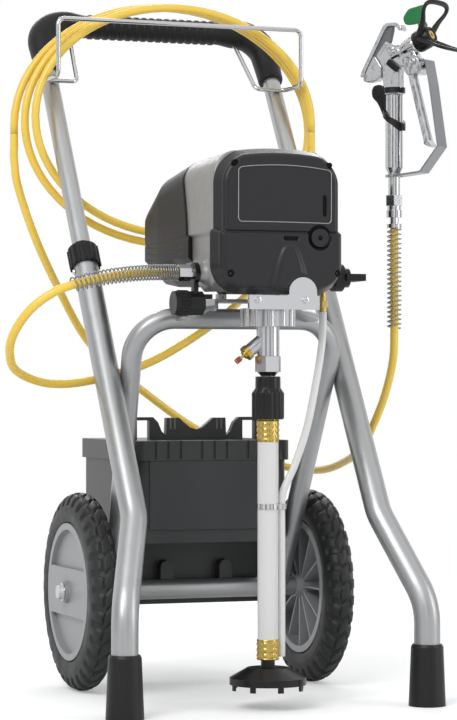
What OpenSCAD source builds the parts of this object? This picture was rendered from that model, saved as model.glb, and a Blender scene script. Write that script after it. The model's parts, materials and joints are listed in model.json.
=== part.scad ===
// Airless paint sprayer on a two-wheeled tube cart, with its high-pressure hose and spray gun.
// X runs to the right, Y runs from the front feet to the back, Z runs up from the floor.

/* [Cart frame] */
// Outside diameter of the two leaning leg tubes
leg_tube_d = 38; // [34:1:42]
// Wall of the leg tubes
leg_wall = 2; // [1.5:0.25:2.5]
// Distance from the centre plane to the upright part of each leg
foot_half_track = 229; // [222:1:240]
// Distance from the centre plane to the leaning part of each leg
leg_half_track = 188.5; // [185:0.5:192]
// Lean of the leg tubes from upright, in degrees
lean = 33; // [32:0.5:34]
// Height of the lower bend of the legs
knee_low_z = 148; // [140:1:155]
// Height of the upper bend of the legs
knee_high_z = 275; // [265:1:285]
// Bend radius of the legs on their centre line
knee_bend_r = 90; // [70:5:110]
// Height of the top end of the leg tubes
leg_top_z = 664; // [650:1:680]
// Outside diameter of the U-shaped cross frame
u_tube_d = 30; // [27:1:32]
// Wall of the cross frame and the axle tube
u_wall = 2; // [1.5:0.25:2.5]
// Height of the top bar of the cross frame
cross_z = 560; // [556:1:564]
// Distance of the top bar behind the front feet
cross_y = 170; // [165:1:175]
// Bend radius of the cross frame on its centre line
u_bend_r = 58; // [50:1:64]
// How much closer each leg of the cross frame comes to the centre plane at the axle
u_taper = 25; // [20:1:30]

/* [Wheels] */
// Outside radius of the tyres
tyre_r = 150; // [145:1:155]
// Width of a tyre at its widest
tyre_w = 44; // [42:1:52]
// Radius at which the tyre sits on the rim
rim_seat_r = 99; // [92:1:103]
// Height of the rim flange above the tyre seat
rim_flange = 5; // [4:0.5:7]
// Distance from the centre plane to the middle of each wheel
wheel_half_track = 187; // [186:1:196]
// Distance of the axle behind the front feet
axle_y = 353; // [348:1:358]
// Diameter of the axle rod
axle_d = 12; // [10:1:14]
// Diameter of the wheel hubs
hub_d = 34; // [30:1:38]
// Length of the wheel hubs
hub_l = 54; // [52:1:58]
// Number of tread lugs round a tyre
tread_lugs = 24; // [16:1:30]
// Depth of the grooves between the lugs
tread_depth = 6; // [3:0.5:7]

/* [Feet, collars and handle] */
// Height of the rubber feet
foot_h = 89; // [80:1:95]
// Diameter of a rubber foot at its top
foot_top_d = 47; // [44:1:50]
// Diameter of a rubber foot at the floor
foot_base_d = 54; // [51:1:58]
// Thickness of the rubber under the tube
foot_floor = 12; // [8:1:16]
// Outside diameter of the handle tube
handle_tube_d = 28; // [25:1:29]
// Wall of the handle tube
handle_wall = 1.5; // [1:0.25:2]
// Height of the handle's crossbar
handle_z = 1040; // [1030:1:1050]
// Height of the hidden lower ends of the handle tube
handle_low_z = 520; // [500:1:540]
// Bend radius of the handle on its centre line
handle_bend_r = 45; // [40:1:50]
// Diameter of the lock collars over their ribs
collar_d = 49; // [46:1:52]
// Length of a lock collar
collar_l = 38; // [34:1:44]
// Height of a lock collar's top over the end of the leg tube
collar_up = 9; // [8:0.5:12]
// Number of ribs round a lock collar
collar_ribs = 16; // [12:1:20]
// Length of the split bush inside the leg tube
bush_l = 50; // [46:1:56]
// Diameter of the rubber grip along the crossbar
grip_d = 36; // [34:1:40]
// Diameter of the rubber grip round the corners
grip_corner_d = 46; // [42:1:48]
// How far the lower ends of the grip lie below the crossbar
grip_run = 84; // [74:1:88]
// Number of finger rings on the crossbar
grip_rings = 17; // [10:1:20]
// Diameter of the steel wire of the hose hook
hook_wire_d = 7; // [6:0.5:8]
// Distance from the centre plane to the sides of the hose hook
hook_half_w = 201; // [199:1:204]
// How far the bottom of the hose hook lies below the crossbar
hook_drop = 99; // [96:1:104]
// Height of the front loop of the hose hook
hook_h = 88; // [80:1:96]
// Reach of the hose hook in front of the handle tubes
hook_reach = 70; // [66:1:74]

/* [Motor and gear case] */
// Half the width of the gear housing
case_half_w = 91; // [88:1:94]
// Bottom of the gear housing
case_z = 592; // [590:1:594]
// Height of the gear housing
case_h = 208; // [206:1:214]
// Front of the gear housing, where the cover seats
case_y = 14; // [12:1:16]
// Depth of the gear housing from front to back
case_depth = 138; // [134:1:142]
// Wall of the castings and mouldings
case_wall = 4; // [3:0.5:5]
// Depth of the front cover
cover_depth = 26; // [24:1:30]
// Depth of the motor shroud behind the gear housing
shroud_depth = 188; // [180:1:195]
// Height of the crank's axis above the bottom of the gear housing
crank_up = 58; // [56:1:60]
// Number of teeth on the crank gear
crank_teeth = 50; // [50]
// Number of teeth on the motor pinion
pinion_teeth = 10; // [10]
// Throw of the crank pin
crank_throw = 5; // [4:0.5:6]
// Diameter of the stator
stator_d = 112; // [104:1:118]
// Diameter of the armature
armature_d = 58; // [50:1:60]

/* [Pump] */
// Distance of the pump's axis behind the front feet
pump_y = 45; // [43:1:48]
// Diameter of the fluted collar of the pump
pump_collar_d = 80; // [76:1:84]
// Top of the fluted collar
pump_collar_top = 572; // [568:1:574]
// Height of the fluted collar
pump_collar_h = 26; // [22:1:28]
// Diameter of the pump cylinder
pump_d = 33; // [30:1:35]
// Bottom of the pump cylinder
pump_low_z = 504; // [500:1:508]
// Diameter of the piston
piston_d = 18; // [16:1:20]
// Width across flats of the inlet nut
inlet_nut_af = 34; // [32:1:36]
// Height of the inlet nut
inlet_nut_h = 22.5; // [20:0.5:25]
// Diameter of the black swivel nut over its ribs
swivel_nut_d = 46; // [42:1:50]
// Length of the black swivel nut
swivel_nut_l = 61.5; // [56:0.5:66]
// Outside diameter of the suction tube
suction_d = 30; // [28:1:32]
// Wall of the suction tube
suction_wall = 2.5; // [2:0.25:3]
// Bottom end of the suction tube
suction_low_z = 99; // [92:1:106]
// Diameter of the strainer
strainer_d = 110; // [100:1:118]
// Clearance between the strainer and the floor
strainer_low_z = 27; // [22:1:32]
// Outside diameter of the return tube
return_d = 11; // [10:0.5:12]
// Height of the clamp that ties the return tube to the suction tube
clamp_z = 285; // [250:1:320]
// Diameter of the pressure knob
pressure_knob_d = 38; // [34:1:42]
// Diameter of the prime knob
prime_knob_d = 40; // [36:1:44]

/* [Tool box] */
// Half the width of the tool box
box_half_w = 128; // [122:1:129]
// Distance of the front of the tool box behind the front feet
box_front_y = 272; // [268:1:276]
// Depth of the tool box from front to back
box_depth = 288; // [270:1:294]
// Height of the floor of the tool box
box_low_z = 126; // [120:1:130]
// Height of the joint between the tool box and its lid
lid_low_z = 349; // [345:1:353]
// Thickness of the lid
lid_h = 30; // [27:1:33]
// Wall of the tool box
box_wall = 3; // [2.5:0.5:4]
// Height of the carry loops over the lid
loop_h = 36; // [32:1:40]

/* [Hose] */
// Outside diameter of the hose
hose_d = 12.5; // [11:0.5:13]
// Outside diameter of the spring guards
guard_d = 23; // [21:0.5:24]
// Wire of the spring guards
guard_wire_d = 2.4; // [2:0.2:2.6]
// Half the width of the outermost loop of the coil
coil_a = 245; // [240:1:248]
// Half the height of the outermost loop of the coil
coil_b = 193; // [185:1:196]
// Growth of the loops for each turn
coil_grow = 8; // [6:1:9]
// Step backwards for each turn
coil_pitch = 14.5; // [14:0.5:16]
// Turns of hose on the hook
coil_turns = 2.5; // [2.5]

/* [Spray gun] */
// Diameter of the gun's handle
gun_handle_d = 27; // [25:1:28]
// Length of the gun's handle
gun_handle_l = 112; // [108:1:116]
// Thickness of the gun's cast body
gun_body_t = 16; // [14:1:18]
// Diameter of the gun's barrel
gun_barrel_d = 22; // [20:1:24]
// Tilt of the barrel, in degrees
barrel_tilt = 22; // [20:0.5:24]
// Diameter of the tip guard's body
tip_guard_d = 34; // [31:1:36]
// Width of the finger guard strip
finger_guard_w = 26; // [22:1:28]
// Turn of the gun about the hose, in degrees
gun_yaw = -55; // [-60:1:-50]

/* [Hidden] */
$fn = 48;
part_gap = 0.3;
fit_gap = 0.1;
run_gap = 0.05;
tiny = 0.01;

// Derived places of the frame
left = -1;
right = 1;
lean_dir = [0, sin(lean), cos(lean)];
axle_z = tyre_r;
function lean_y(z) = tan(lean) * (z - knee_low_z);
u_rake = (axle_y - cross_y) / (cross_z - axle_z);
weld_z = (axle_y + u_rake * axle_z + tan(lean) * knee_low_z) / (tan(lean) + u_rake);
u_low_x = leg_half_track - (leg_tube_d + u_tube_d) / 2 - part_gap
    - u_taper * (weld_z - axle_z) / (cross_z - axle_z);
u_top_x = u_low_x + u_taper;
axle_tube_half = wheel_half_track - hub_l / 2 - part_gap;
handle_half = leg_half_track;
handle_y = lean_y(handle_z);
gear_module = 1.8;
grip_low_z = handle_z - grip_run;
hook_low_z = handle_z - hook_drop;
crank_z = case_z + crank_up;
motor_z = crank_z + gear_module * (crank_teeth + pinion_teeth) / 2;
leg_top = [0, lean_y(leg_top_z), leg_top_z];
bush_flange = 3;
hook_y = lean_y(hook_low_z) - (handle_tube_d / 2 + hook_wire_d / 2 + part_gap) / cos(lean);

// Bends are drawn a hair thicker than the straight parts, which run a little way into them
seam_t = 0.06;
seam_l = 0.6;

// Middle of the footprint of the sprayer and its gun, without the hose
mid_x = 54.5;
mid_y = (handle_y + (grip_corner_d + seam_t - foot_base_d) / 2) / 2;

// ---- Helpers ----

function unit(v) = v / norm(v);
function turn_at(a, b, c) = acos(unit(b - a) * unit(c - b));
function cut_back(a, b, c, r) = r * tan(turn_at(a, b, c) / 2);
function sum_upto(v, n) = n < 0 ? 0 : v[n] + sum_upto(v, n - 1);

module placed() {
    translate([-mid_x, -mid_y, 0]) children();
}

// Puts the children's Z axis along p to q, with their origin at p
module along(p, q) {
    v = q - p;
    translate(p) rotate([0, acos(v[2] / norm(v)), atan2(v[1], v[0])]) children();
}

module rod(p, q, d) {
    along(p, q) cylinder(h = norm(q - p), d = d);
}

// The bend at b on the way from a to c, drawn as part of a ring of radius r
module bend(a, b, c, r, d) {
    u = unit(b - a);
    w = unit(c - b);
    n = unit(cross(u, w));
    x = cross(u, n);
    m = b - u * cut_back(a, b, c, r) - x * r;
    multmatrix([[x[0], u[0], n[0], m[0]], [x[1], u[1], n[1], m[1]], [x[2], u[2], n[2], m[2]],
            [0, 0, 0, 1]])
        rotate_extrude(angle = turn_at(a, b, c)) translate([r, 0]) circle(d = d + seam_t);
}

// A round bar through the points, with true round bends of radius r
module bent_rod(pts, r, d) {
    last = len(pts) - 1;
    for (i = [0:last - 1]) {
        u = unit(pts[i + 1] - pts[i]);
        p = i == 0 ? pts[0] : pts[i] + u * (cut_back(pts[i - 1], pts[i], pts[i + 1], r) - seam_l);
        q = i == last - 1 ? pts[last]
            : pts[i + 1] - u * (cut_back(pts[i], pts[i + 1], pts[i + 2], r) - seam_l);
        rod(p, q, d);
    }
    for (i = [1:1:last - 1]) {
        bend(pts[i - 1], pts[i], pts[i + 1], r, d);
    }
}

// A tube of outer diameter d along the same bends
module bent_tube(pts, r, d, wall) {
    u = unit(pts[1] - pts[0]);
    w = unit(pts[len(pts) - 1] - pts[len(pts) - 2]);
    inner = [for (i = [0:len(pts) - 1]) i == 0 ? pts[0] - u
        : i == len(pts) - 1 ? pts[i] + w : pts[i]];
    difference() {
        bent_rod(pts, r, d);
        bent_rod(inner, r, d - 2 * wall);
    }
}

// A flat rectangle of w by h about the origin, with true round corners
module round_rect(w, h, r) {
    square([w - 2 * r, h], center = true);
    square([w, h - 2 * r], center = true);
    for (sx = [-1, 1], sy = [-1, 1]) {
        translate([sx * (w / 2 - r), sy * (h / 2 - r)]) circle(r);
    }
}

// Turns a drawing in X and Z into a plate that is thick along Y, from y0 to y1
module plate_y(y0, y1) {
    translate([0, y1, 0]) rotate([90, 0, 0]) linear_extrude(y1 - y0) children();
}

// A cylinder along X from x0 to x1
module pin_x(x0, x1, y, z, d) {
    translate([x0, y, z]) rotate([0, 90, 0]) cylinder(h = x1 - x0, d = d);
}

// A cylinder along Y from y0 to y1
module pin_y(y0, y1, x, z, d) {
    translate([x, y0, z]) rotate([-90, 0, 0]) cylinder(h = y1 - y0, d = d);
}

// A cylinder along Z from z0 to z1
module pin_z(z0, z1, x, y, d) {
    translate([x, y, z0]) cylinder(h = z1 - z0, d = d);
}

// ---- Sweeps for the hose and the springs ----

// A point on the smooth curve that passes through the listed points
function spline(p, i, t) =
    let(n = len(p) - 1, a = i == 0 ? 2 * p[0] - p[1] : p[i - 1], b = p[i], c = p[i + 1],
        d = i + 2 > n ? 2 * p[n] - p[n - 1] : p[i + 2])
    0.5 * (2 * b + (c - a) * t + (2 * a - 5 * b + 4 * c - d) * t * t
        + (3 * b - a - 3 * c + d) * t * t * t);
function smooth_path(p, steps) = concat(
    [for (i = [0:len(p) - 2], k = [0:steps - 1]) spline(p, i, k / steps)], [p[len(p) - 1]]);
function path_length(p) = sum_upto([for (i = [1:len(p) - 1]) norm(p[i] - p[i - 1])], len(p) - 2);

// Direction of a path at point i
function path_dir(p, i) = unit(p[min(i + 1, len(p) - 1)] - p[max(i - 1, 0)]);

// Reference vectors that turn as little as possible from ring to ring
function carry(p, i, v) =
    let(d = path_dir(p, i), u = unit(v - (v * d) * d))
    i == len(p) - 1 ? [u] : concat([u], carry(p, i + 1, u));

// A closed round tube along a path, as one polyhedron
module swept_tube(p, d, sides, ref) {
    n = len(p);
    refs = carry(p, 0, ref);
    rings = [for (i = [0:n - 1], k = [0:sides - 1])
        let(u = refs[i], w = cross(path_dir(p, i), u), a = 360 * k / sides)
        p[i] + d / 2 * (cos(a) * u + sin(a) * w)];
    walls = [for (i = [0:n - 2], k = [0:sides - 1])
        let(a = i * sides + k, b = i * sides + (k + 1) % sides)
        each [[a, a + sides, b], [b, a + sides, b + sides]]];
    caps = [for (k = [1:sides - 2]) each [[0, k, k + 1],
        [(n - 1) * sides, (n - 1) * sides + k + 1, (n - 1) * sides + k]]];
    polyhedron(points = rings, faces = concat(walls, caps));
}

// Least distance between stretches of a path that are more than skip points apart
function self_gap(p, skip, d) = min([for (i = [0:len(p) - 1 - skip], j = [i + skip:1:len(p) - 1])
    norm(p[i] - p[j])]) - d;

// ---- Cart frame ----

function leg_path(side) = [[side * foot_half_track, 0, foot_floor], [side * foot_half_track, 0, knee_low_z],
    [side * leg_half_track, lean_y(knee_high_z), knee_high_z],
    [side * leg_half_track, leg_top[1], leg_top_z]];

// Puts children on the axis of a leg, with Z along it and the tube's end at zero
module at_leg_top(side) {
    translate([side * leg_half_track, leg_top[1], leg_top_z]) rotate([-lean, 0, 0]) children();
}

collar_low = collar_up - collar_l;
rivet_z = collar_low - 8;
rivet_d = 4;

module leg_tube(side) {
    difference() {
        bent_tube(leg_path(side), knee_bend_r, leg_tube_d, leg_wall);
        at_leg_top(side) translate([0, 0, rivet_z]) rotate([0, side * 90, 0])
            cylinder(h = leg_tube_d, d = rivet_d + 2 * fit_gap);
    }
}

module leg_tube_left() {
    placed() color("#b9bbbd") leg_tube(left);
}

module leg_tube_right() {
    placed() color("#b9bbbd") leg_tube(right);
}

u_path = [[-u_low_x, axle_y, axle_z], [-u_top_x, cross_y, cross_z], [u_top_x, cross_y, cross_z],
    [u_low_x, axle_y, axle_z]];
plug_l = 14;

// The bent cross frame and the axle tube that is welded under it
module u_frame() {
    placed() color("#b4b6b8") {
        difference() {
            bent_tube(u_path, u_bend_r, u_tube_d, u_wall);
            pin_x(-axle_tube_half, axle_tube_half, axle_y, axle_z, u_tube_d - 2);
        }
        difference() {
            pin_x(-axle_tube_half, axle_tube_half, axle_y, axle_z, u_tube_d);
            pin_x(plug_l - axle_tube_half, axle_tube_half - plug_l, axle_y, axle_z, u_tube_d - 2 * u_wall);
            pin_x(-axle_tube_half - 1, axle_tube_half + 1, axle_y, axle_z, axle_d + 2 * fit_gap);
        }
    }
}

axle_cap_l = 9;
axle_end_x = wheel_half_track + hub_l / 2 + part_gap + axle_cap_l - 2;

module axle_shaft() {
    placed() color("#8d8f92") pin_x(-axle_end_x, axle_end_x, axle_y, axle_z, axle_d);
}

// Push-on caps that keep the wheels on the axle
module axle_caps() {
    placed() color("#9a9c9e") for (side = [left, right]) {
        translate([side * (wheel_half_track + hub_l / 2 + part_gap), axle_y, axle_z])
            rotate([0, side * 90, 0]) difference() {
                union() {
                    cylinder(h = 2, d = hub_d - 6);
                    cylinder(h = axle_cap_l, d1 = hub_d - 10, d2 = hub_d - 14);
                }
                translate([0, 0, -1]) cylinder(h = axle_cap_l - 1 + part_gap, d = axle_d + 2 * fit_gap);
            }
    }
}

module rubber_feet() {
    placed() color("#1d1d1f") for (side = [left, right]) translate([side * foot_half_track, 0, 0])
        difference() {
            union() {
                cylinder(h = foot_h - 4, d1 = foot_base_d, d2 = foot_top_d);
                translate([0, 0, foot_h - 4]) cylinder(h = 4, d1 = foot_top_d, d2 = foot_top_d - 4);
            }
            translate([0, 0, foot_floor]) cylinder(h = foot_h, d = leg_tube_d + 2 * fit_gap);
        }
}

bush_od = leg_tube_d - 2 * leg_wall - 2 * fit_gap;

module tube_bushes() {
    placed() color("#2a2a2c") for (side = [left, right]) at_leg_top(side) difference() {
        union() {
            translate([0, 0, -bush_l]) cylinder(h = bush_l + bush_flange, d = bush_od);
            cylinder(h = bush_flange, d = leg_tube_d - 1);
        }
        translate([0, 0, -bush_l - 1])
            cylinder(h = bush_l + bush_flange + 2, d = handle_tube_d + 2 * run_gap);
        translate([0, 0, rivet_z]) rotate([0, side * 90, 0])
            cylinder(h = leg_tube_d, d = rivet_d + 2 * fit_gap);
    }
}

module bush_rivets() {
    placed() color("#c9cbcd") for (side = [left, right])
        at_leg_top(side) translate([0, 0, rivet_z]) rotate([0, side * 90, 0]) {
            translate([0, 0, handle_tube_d / 2 + 0.6]) cylinder(h = leg_tube_d / 2 - handle_tube_d / 2, d = rivet_d);
            translate([0, 0, leg_tube_d / 2 + 0.4]) cylinder(h = 2.4, d1 = 9, d2 = 6);
        }
}

// Ribbed collar that squeezes the bush when it is turned
module lock_collar(side) {
    at_leg_top(side) difference() {
        union() {
            translate([0, 0, collar_low]) cylinder(h = collar_l - 4, d = collar_d - 4);
            translate([0, 0, collar_up - 5]) cylinder(h = 5, d1 = collar_d - 5, d2 = collar_d - 12);
            for (k = [0:collar_ribs - 1]) {
                rotate(360 * (k + 0.5) / collar_ribs) translate([collar_d / 2 - 2.1, 0, collar_low + 1])
                    cylinder(h = collar_l - 8, d = 4);
            }
        }
        translate([0, 0, collar_low - 1]) rotate(180)
            cylinder(h = 1 - collar_low + bush_flange + part_gap, d = leg_tube_d + 2 * part_gap);
        translate([0, 0, -1]) cylinder(h = collar_up + 2, d = handle_tube_d + 2 * part_gap);
    }
}

module lock_collar_left() {
    placed() color("#1b1b1d") lock_collar(left);
}

module lock_collar_right() {
    placed() color("#1b1b1d") lock_collar(right);
}

handle_path = [[-handle_half, lean_y(handle_low_z), handle_low_z], [-handle_half, handle_y, handle_z],
    [handle_half, handle_y, handle_z], [handle_half, lean_y(handle_low_z), handle_low_z]];

module handle_tube() {
    placed() color("#b9bbbd") bent_tube(handle_path, handle_bend_r, handle_tube_d, handle_wall);
}

hook_half_low = 150;
hook_end_x = 140;
hook_end_dir = unit([0, -0.4, -1]);
hook_front_y = hook_y - hook_reach;
hook_seat = handle_tube_d / 2 + hook_wire_d / 2 - 1.5;
hook_path = [
    [-hook_end_x, handle_y, handle_z] + hook_seat * hook_end_dir, [-hook_half_low, hook_y, hook_low_z],
    [-hook_half_w, hook_y, hook_low_z], [-hook_half_w, hook_front_y, hook_low_z],
    [-hook_half_w, hook_front_y, hook_low_z + hook_h], [hook_half_w, hook_front_y, hook_low_z + hook_h],
    [hook_half_w, hook_front_y, hook_low_z], [hook_half_w, hook_y, hook_low_z],
    [hook_half_low, hook_y, hook_low_z], [hook_end_x, handle_y, handle_z] + hook_seat * hook_end_dir];

module hose_hook() {
    placed() color("#c3c5c7") difference() {
        bent_rod(hook_path, 10, hook_wire_d);
        pin_x(-handle_half, handle_half, handle_y, handle_z, handle_tube_d + 2 * fit_gap);
    }
}

grip_taper = 34;
function on_lean(side, z) = [side * handle_half, lean_y(z), z];
function corner(side) = [side * handle_half, handle_y, handle_z];

// Rubber grip over the crossbar, the corners and the tops of both handle legs
module hand_grip() {
    corner_x = handle_half - handle_bend_r;
    placed() color("#232325") difference() {
        union() {
            for (side = [left, right]) {
                low = on_lean(side, grip_low_z);
                high = corner(side) - (handle_bend_r - seam_l) * lean_dir;
                along(low, high) cylinder(h = norm(high - low) - 3, d1 = grip_corner_d - 6, d2 = grip_corner_d - 1);
                rod(high - 4 * lean_dir, high, grip_corner_d);
                translate([side * (corner_x - 3), handle_y, handle_z]) rotate([0, -side * 90, 0])
                    cylinder(h = grip_taper - 3, d1 = grip_corner_d - 1, d2 = grip_d + 1);
                rod(corner(side) - [side * (handle_bend_r + 4), 0, 0],
                    corner(side) - [side * (handle_bend_r - seam_l), 0, 0], grip_corner_d);
                bend(low, corner(side), corner(-side), handle_bend_r, grip_corner_d);
            }
            pin_x(-corner_x, corner_x, handle_y, handle_z, grip_d);
            for (k = [0:grip_rings - 1]) {
                x = (k - (grip_rings - 1) / 2) * 2 * (corner_x - grip_taper) / grip_rings;
                pin_x(x - 3, x + 3, handle_y, handle_z, grip_d + 3);
            }
        }
        bent_rod([on_lean(left, grip_low_z - 30), corner(left), corner(right), on_lean(right, grip_low_z - 30)],
            handle_bend_r, handle_tube_d + 2 * fit_gap);
        for (i = [0, len(hook_path) - 2]) {
            rod(hook_path[i], hook_path[i + 1], hook_wire_d + 2 * part_gap);
        }
    }
}

// ---- Wheels ----

flange_w = 3;
rim_half = tyre_w / 2 - 1;
disc_half = 5;
spokes = 12;

// Puts children in a wheel's own frame: Z along the axle, outwards, about the axle's line
module at_wheel(side) {
    translate([side * wheel_half_track, axle_y, axle_z]) rotate([0, side * 90, 0]) children();
}

module wheel_rim(side) {
    at_wheel(side) difference() {
        union() {
            rotate_extrude() polygon([[rim_seat_r - 5, -rim_half], [rim_seat_r + rim_flange, -rim_half],
                [rim_seat_r + rim_flange, flange_w - rim_half], [rim_seat_r, flange_w + 2 - rim_half],
                [rim_seat_r, rim_half - flange_w - 2], [rim_seat_r + rim_flange, rim_half - flange_w],
                [rim_seat_r + rim_flange, rim_half], [rim_seat_r - 5, rim_half]]);
            translate([0, 0, rim_half - 14]) cylinder(h = 6, r = rim_seat_r - 2);
            translate([0, 0, -hub_l / 2]) cylinder(h = hub_l, d = hub_d);
            for (k = [0:spokes - 1]) {
                rotate(360 * k / spokes) translate([hub_d / 2 - 2, -1.5, 4 - rim_half])
                    cube([rim_seat_r - 1 - hub_d / 2, 3, 2 * rim_half - 16]);
            }
            intersection() {
                translate([0, 0, rim_half - 9]) cylinder(h = 9, r = rim_seat_r - 3);
                translate([-36, -rim_seat_r, rim_half - 9]) cube([72, 2 * rim_seat_r, 9]);
            }
        }
        translate([0, 0, -hub_l]) cylinder(h = 2 * hub_l, d = axle_d + 2 * run_gap);
    }
}

module tyre(side) {
    at_wheel(side) difference() {
        rotate_extrude() {
            translate([rim_seat_r + fit_gap, -rim_half + 5.4]) square([20, 2 * rim_half - 10.8]);
            translate([rim_seat_r + rim_flange + 0.4, -tyre_w / 2 + 2]) square([12, tyre_w - 4]);
            intersection() {
                translate([tyre_r - tyre_w * 0.62, 0]) circle(tyre_w * 0.62);
                translate([rim_seat_r + rim_flange + 0.4, -tyre_w / 2]) square([tyre_r, tyre_w]);
            }
        }
        for (k = [0:tread_lugs - 1], face = [-1, 1]) {
            rotate(360 * (k + face / 4) / tread_lugs)
                translate([tyre_r - tread_depth, -4, face > 0 ? 5 : -tyre_w]) cube([tread_depth + 4, 8, tyre_w - 5]);
        }
    }
}

module wheel_rim_left() {
    placed() color("#a3a5a7") wheel_rim(left);
}

module wheel_rim_right() {
    placed() color("#a3a5a7") wheel_rim(right);
}

module tyre_left() {
    placed() color("#1c1c1e") tyre(left);
}

module tyre_right() {
    placed() color("#1c1c1e") tyre(right);
}

// ---- Motor and gear case ----

case_back_y = case_y + case_depth;
case_mid_z = case_z + case_h / 2;
gear_y = case_y + 78;
web_y = case_y + 104;
web_t = 6;
gear_t = 12;
shaft_d = 12;
rotor_d = 10;
outlet_y = 60;
outlet_z = 622;
boss_x = 101;
prime_y = 50;
prime_z = 618;
return_x = 87;
rod_d = 14;
oiler_x = 57;
oiler_z = 671;
oiler_d = 27;

// A block with round upright edges that changes from one outline to another along Y
module case_block(y0, y1, w0, w1, z0, z1, low0, low1, r) {
    hull() {
        translate([0, 0, (z0 + low0) / 2]) plate_y(y0, y0 + 0.1) round_rect(w0, z0 - low0, r);
        translate([0, 0, (z1 + low1) / 2]) plate_y(y1 - 0.1, y1) round_rect(w1, z1 - low1, r);
    }
}

module gear_housing() {
    w = case_half_w;
    inner_w = 2 * (w - case_wall);
    placed() color("#8e9092") difference() {
        union() {
            difference() {
                case_block(case_y, case_back_y, 2 * w + 4, 2 * w, case_z + case_h, case_z + case_h - 6,
                    case_z, case_z + 4, 30);
                case_block(case_y - 1, case_back_y + 1, inner_w + 4, inner_w, case_z + case_h - case_wall,
                    case_z + case_h - 6 - case_wall, case_z + case_wall, case_z + 4 + case_wall, 26);
            }
            intersection() {
                translate([0, 0, case_mid_z]) plate_y(web_y, web_y + web_t) round_rect(2 * w - 2, case_h - 14, 26);
                translate([-w, 0, case_z]) cube([2 * w, 400, case_h]);
            }
            pin_y(web_y - 6, web_y + web_t, 0, crank_z, shaft_d + 14);
            pin_x(-boss_x, 6 - w, outlet_y, outlet_z, 26);
            pin_x(w - 6, boss_x, prime_y, prime_z, 26);
            translate([return_x - 9, prime_y - 9, case_z + 6]) cube([18, 18, prime_z - case_z]);
            for (x = shield_screw_x) {
                translate([x - 5, case_y, shield_z - 5]) cube([10, 10, 17]);
            }
        }
        pin_y(web_y - 10, web_y + web_t + 1, 0, crank_z, shaft_d + 2 * run_gap);
        pin_y(web_y - 10, web_y + web_t + 1, 0, motor_z, rotor_d + 2 * run_gap);
        pin_z(case_z - 1, case_z + 12, 0, pump_y, rod_d + 2);
        pin_x(-boss_x - 1, 13 - boss_x, outlet_y, outlet_z, 12 + 2 * fit_gap);
        pin_x(w + 2, boss_x + 1, prime_y, prime_z, 8 + 2 * run_gap);
        pin_z(case_z, case_z + 14, return_x, prime_y, 9 + 2 * fit_gap);
    }
}

cover_half_w = case_half_w + 3;
cover_skirt_w = case_half_w + 8;
cover_low_z = case_z - 2;
cover_step_z = case_z + 86;
cover_y = case_y - cover_depth;
label_w = 140;
label_h = 75;
label_x = 4.5;
label_z = case_z + 136.5;
screw_places = [[-71, case_z + 180], [73, case_z + 180], [-77, case_z + 27], [85, case_z + 29]];

module front_cover() {
    placed() color("#3b3c3e") difference() {
        union() {
            case_block(cover_y, case_y - fit_gap, 2 * cover_half_w - 14, 2 * cover_half_w,
                case_z + case_h - 16, case_z + case_h - 8, cover_low_z + 8, cover_low_z, 30);
            case_block(cover_y + 3, case_y - fit_gap, 2 * cover_skirt_w - 10, 2 * cover_skirt_w,
                cover_step_z, cover_step_z, cover_low_z + 8, cover_low_z, 26);
        }
        case_block(cover_y + case_wall, case_y + 1, 2 * cover_half_w - 16, 2 * cover_half_w - 8,
            case_z + case_h - 20, case_z + case_h - 12, cover_low_z + 12, cover_low_z + 6, 26);
        translate([label_x, 0, label_z]) plate_y(cover_y - 1, cover_y + 1.2) round_rect(label_w, label_h, 6);
        for (p = screw_places) {
            pin_y(cover_y - 1, cover_y + 4, p[0], p[1], 10);
            pin_y(cover_y - 1, case_y + 1, p[0], p[1], 4.4);
        }
        pin_y(cover_y - 1, cover_y + 1.5, oiler_x, oiler_z, oiler_d + 8);
        pin_y(cover_y - 1, case_y, oiler_x, oiler_z, oiler_d + 2 * run_gap);
        translate([62.5, cover_y - 1, label_z - 29]) cube([6, 3, 31]);
        translate([1.5, cover_y - 1, cover_step_z - 12]) cube([24, 3, 7]);
    }
}

module housing_screws() {
    placed() color("#6f7173") {
        for (p = screw_places) {
            pin_y(cover_y + 0.8, cover_y + 4, p[0], p[1], 8);
            pin_y(cover_y + 3, case_y, p[0], p[1], 4);
        }
        for (x = shield_screw_x) {
            pin_y(shield_y - 2.5, shield_y, x, shield_z, 8);
            pin_y(shield_y - 1, shield_y + 12, x, shield_z, 4);
        }
    }
}

shroud_y = case_back_y + part_gap;
shroud_back_y = shroud_y + shroud_depth;
shroud_half_w = case_half_w + 3;
bearing_y = shroud_back_y - 34;

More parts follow.
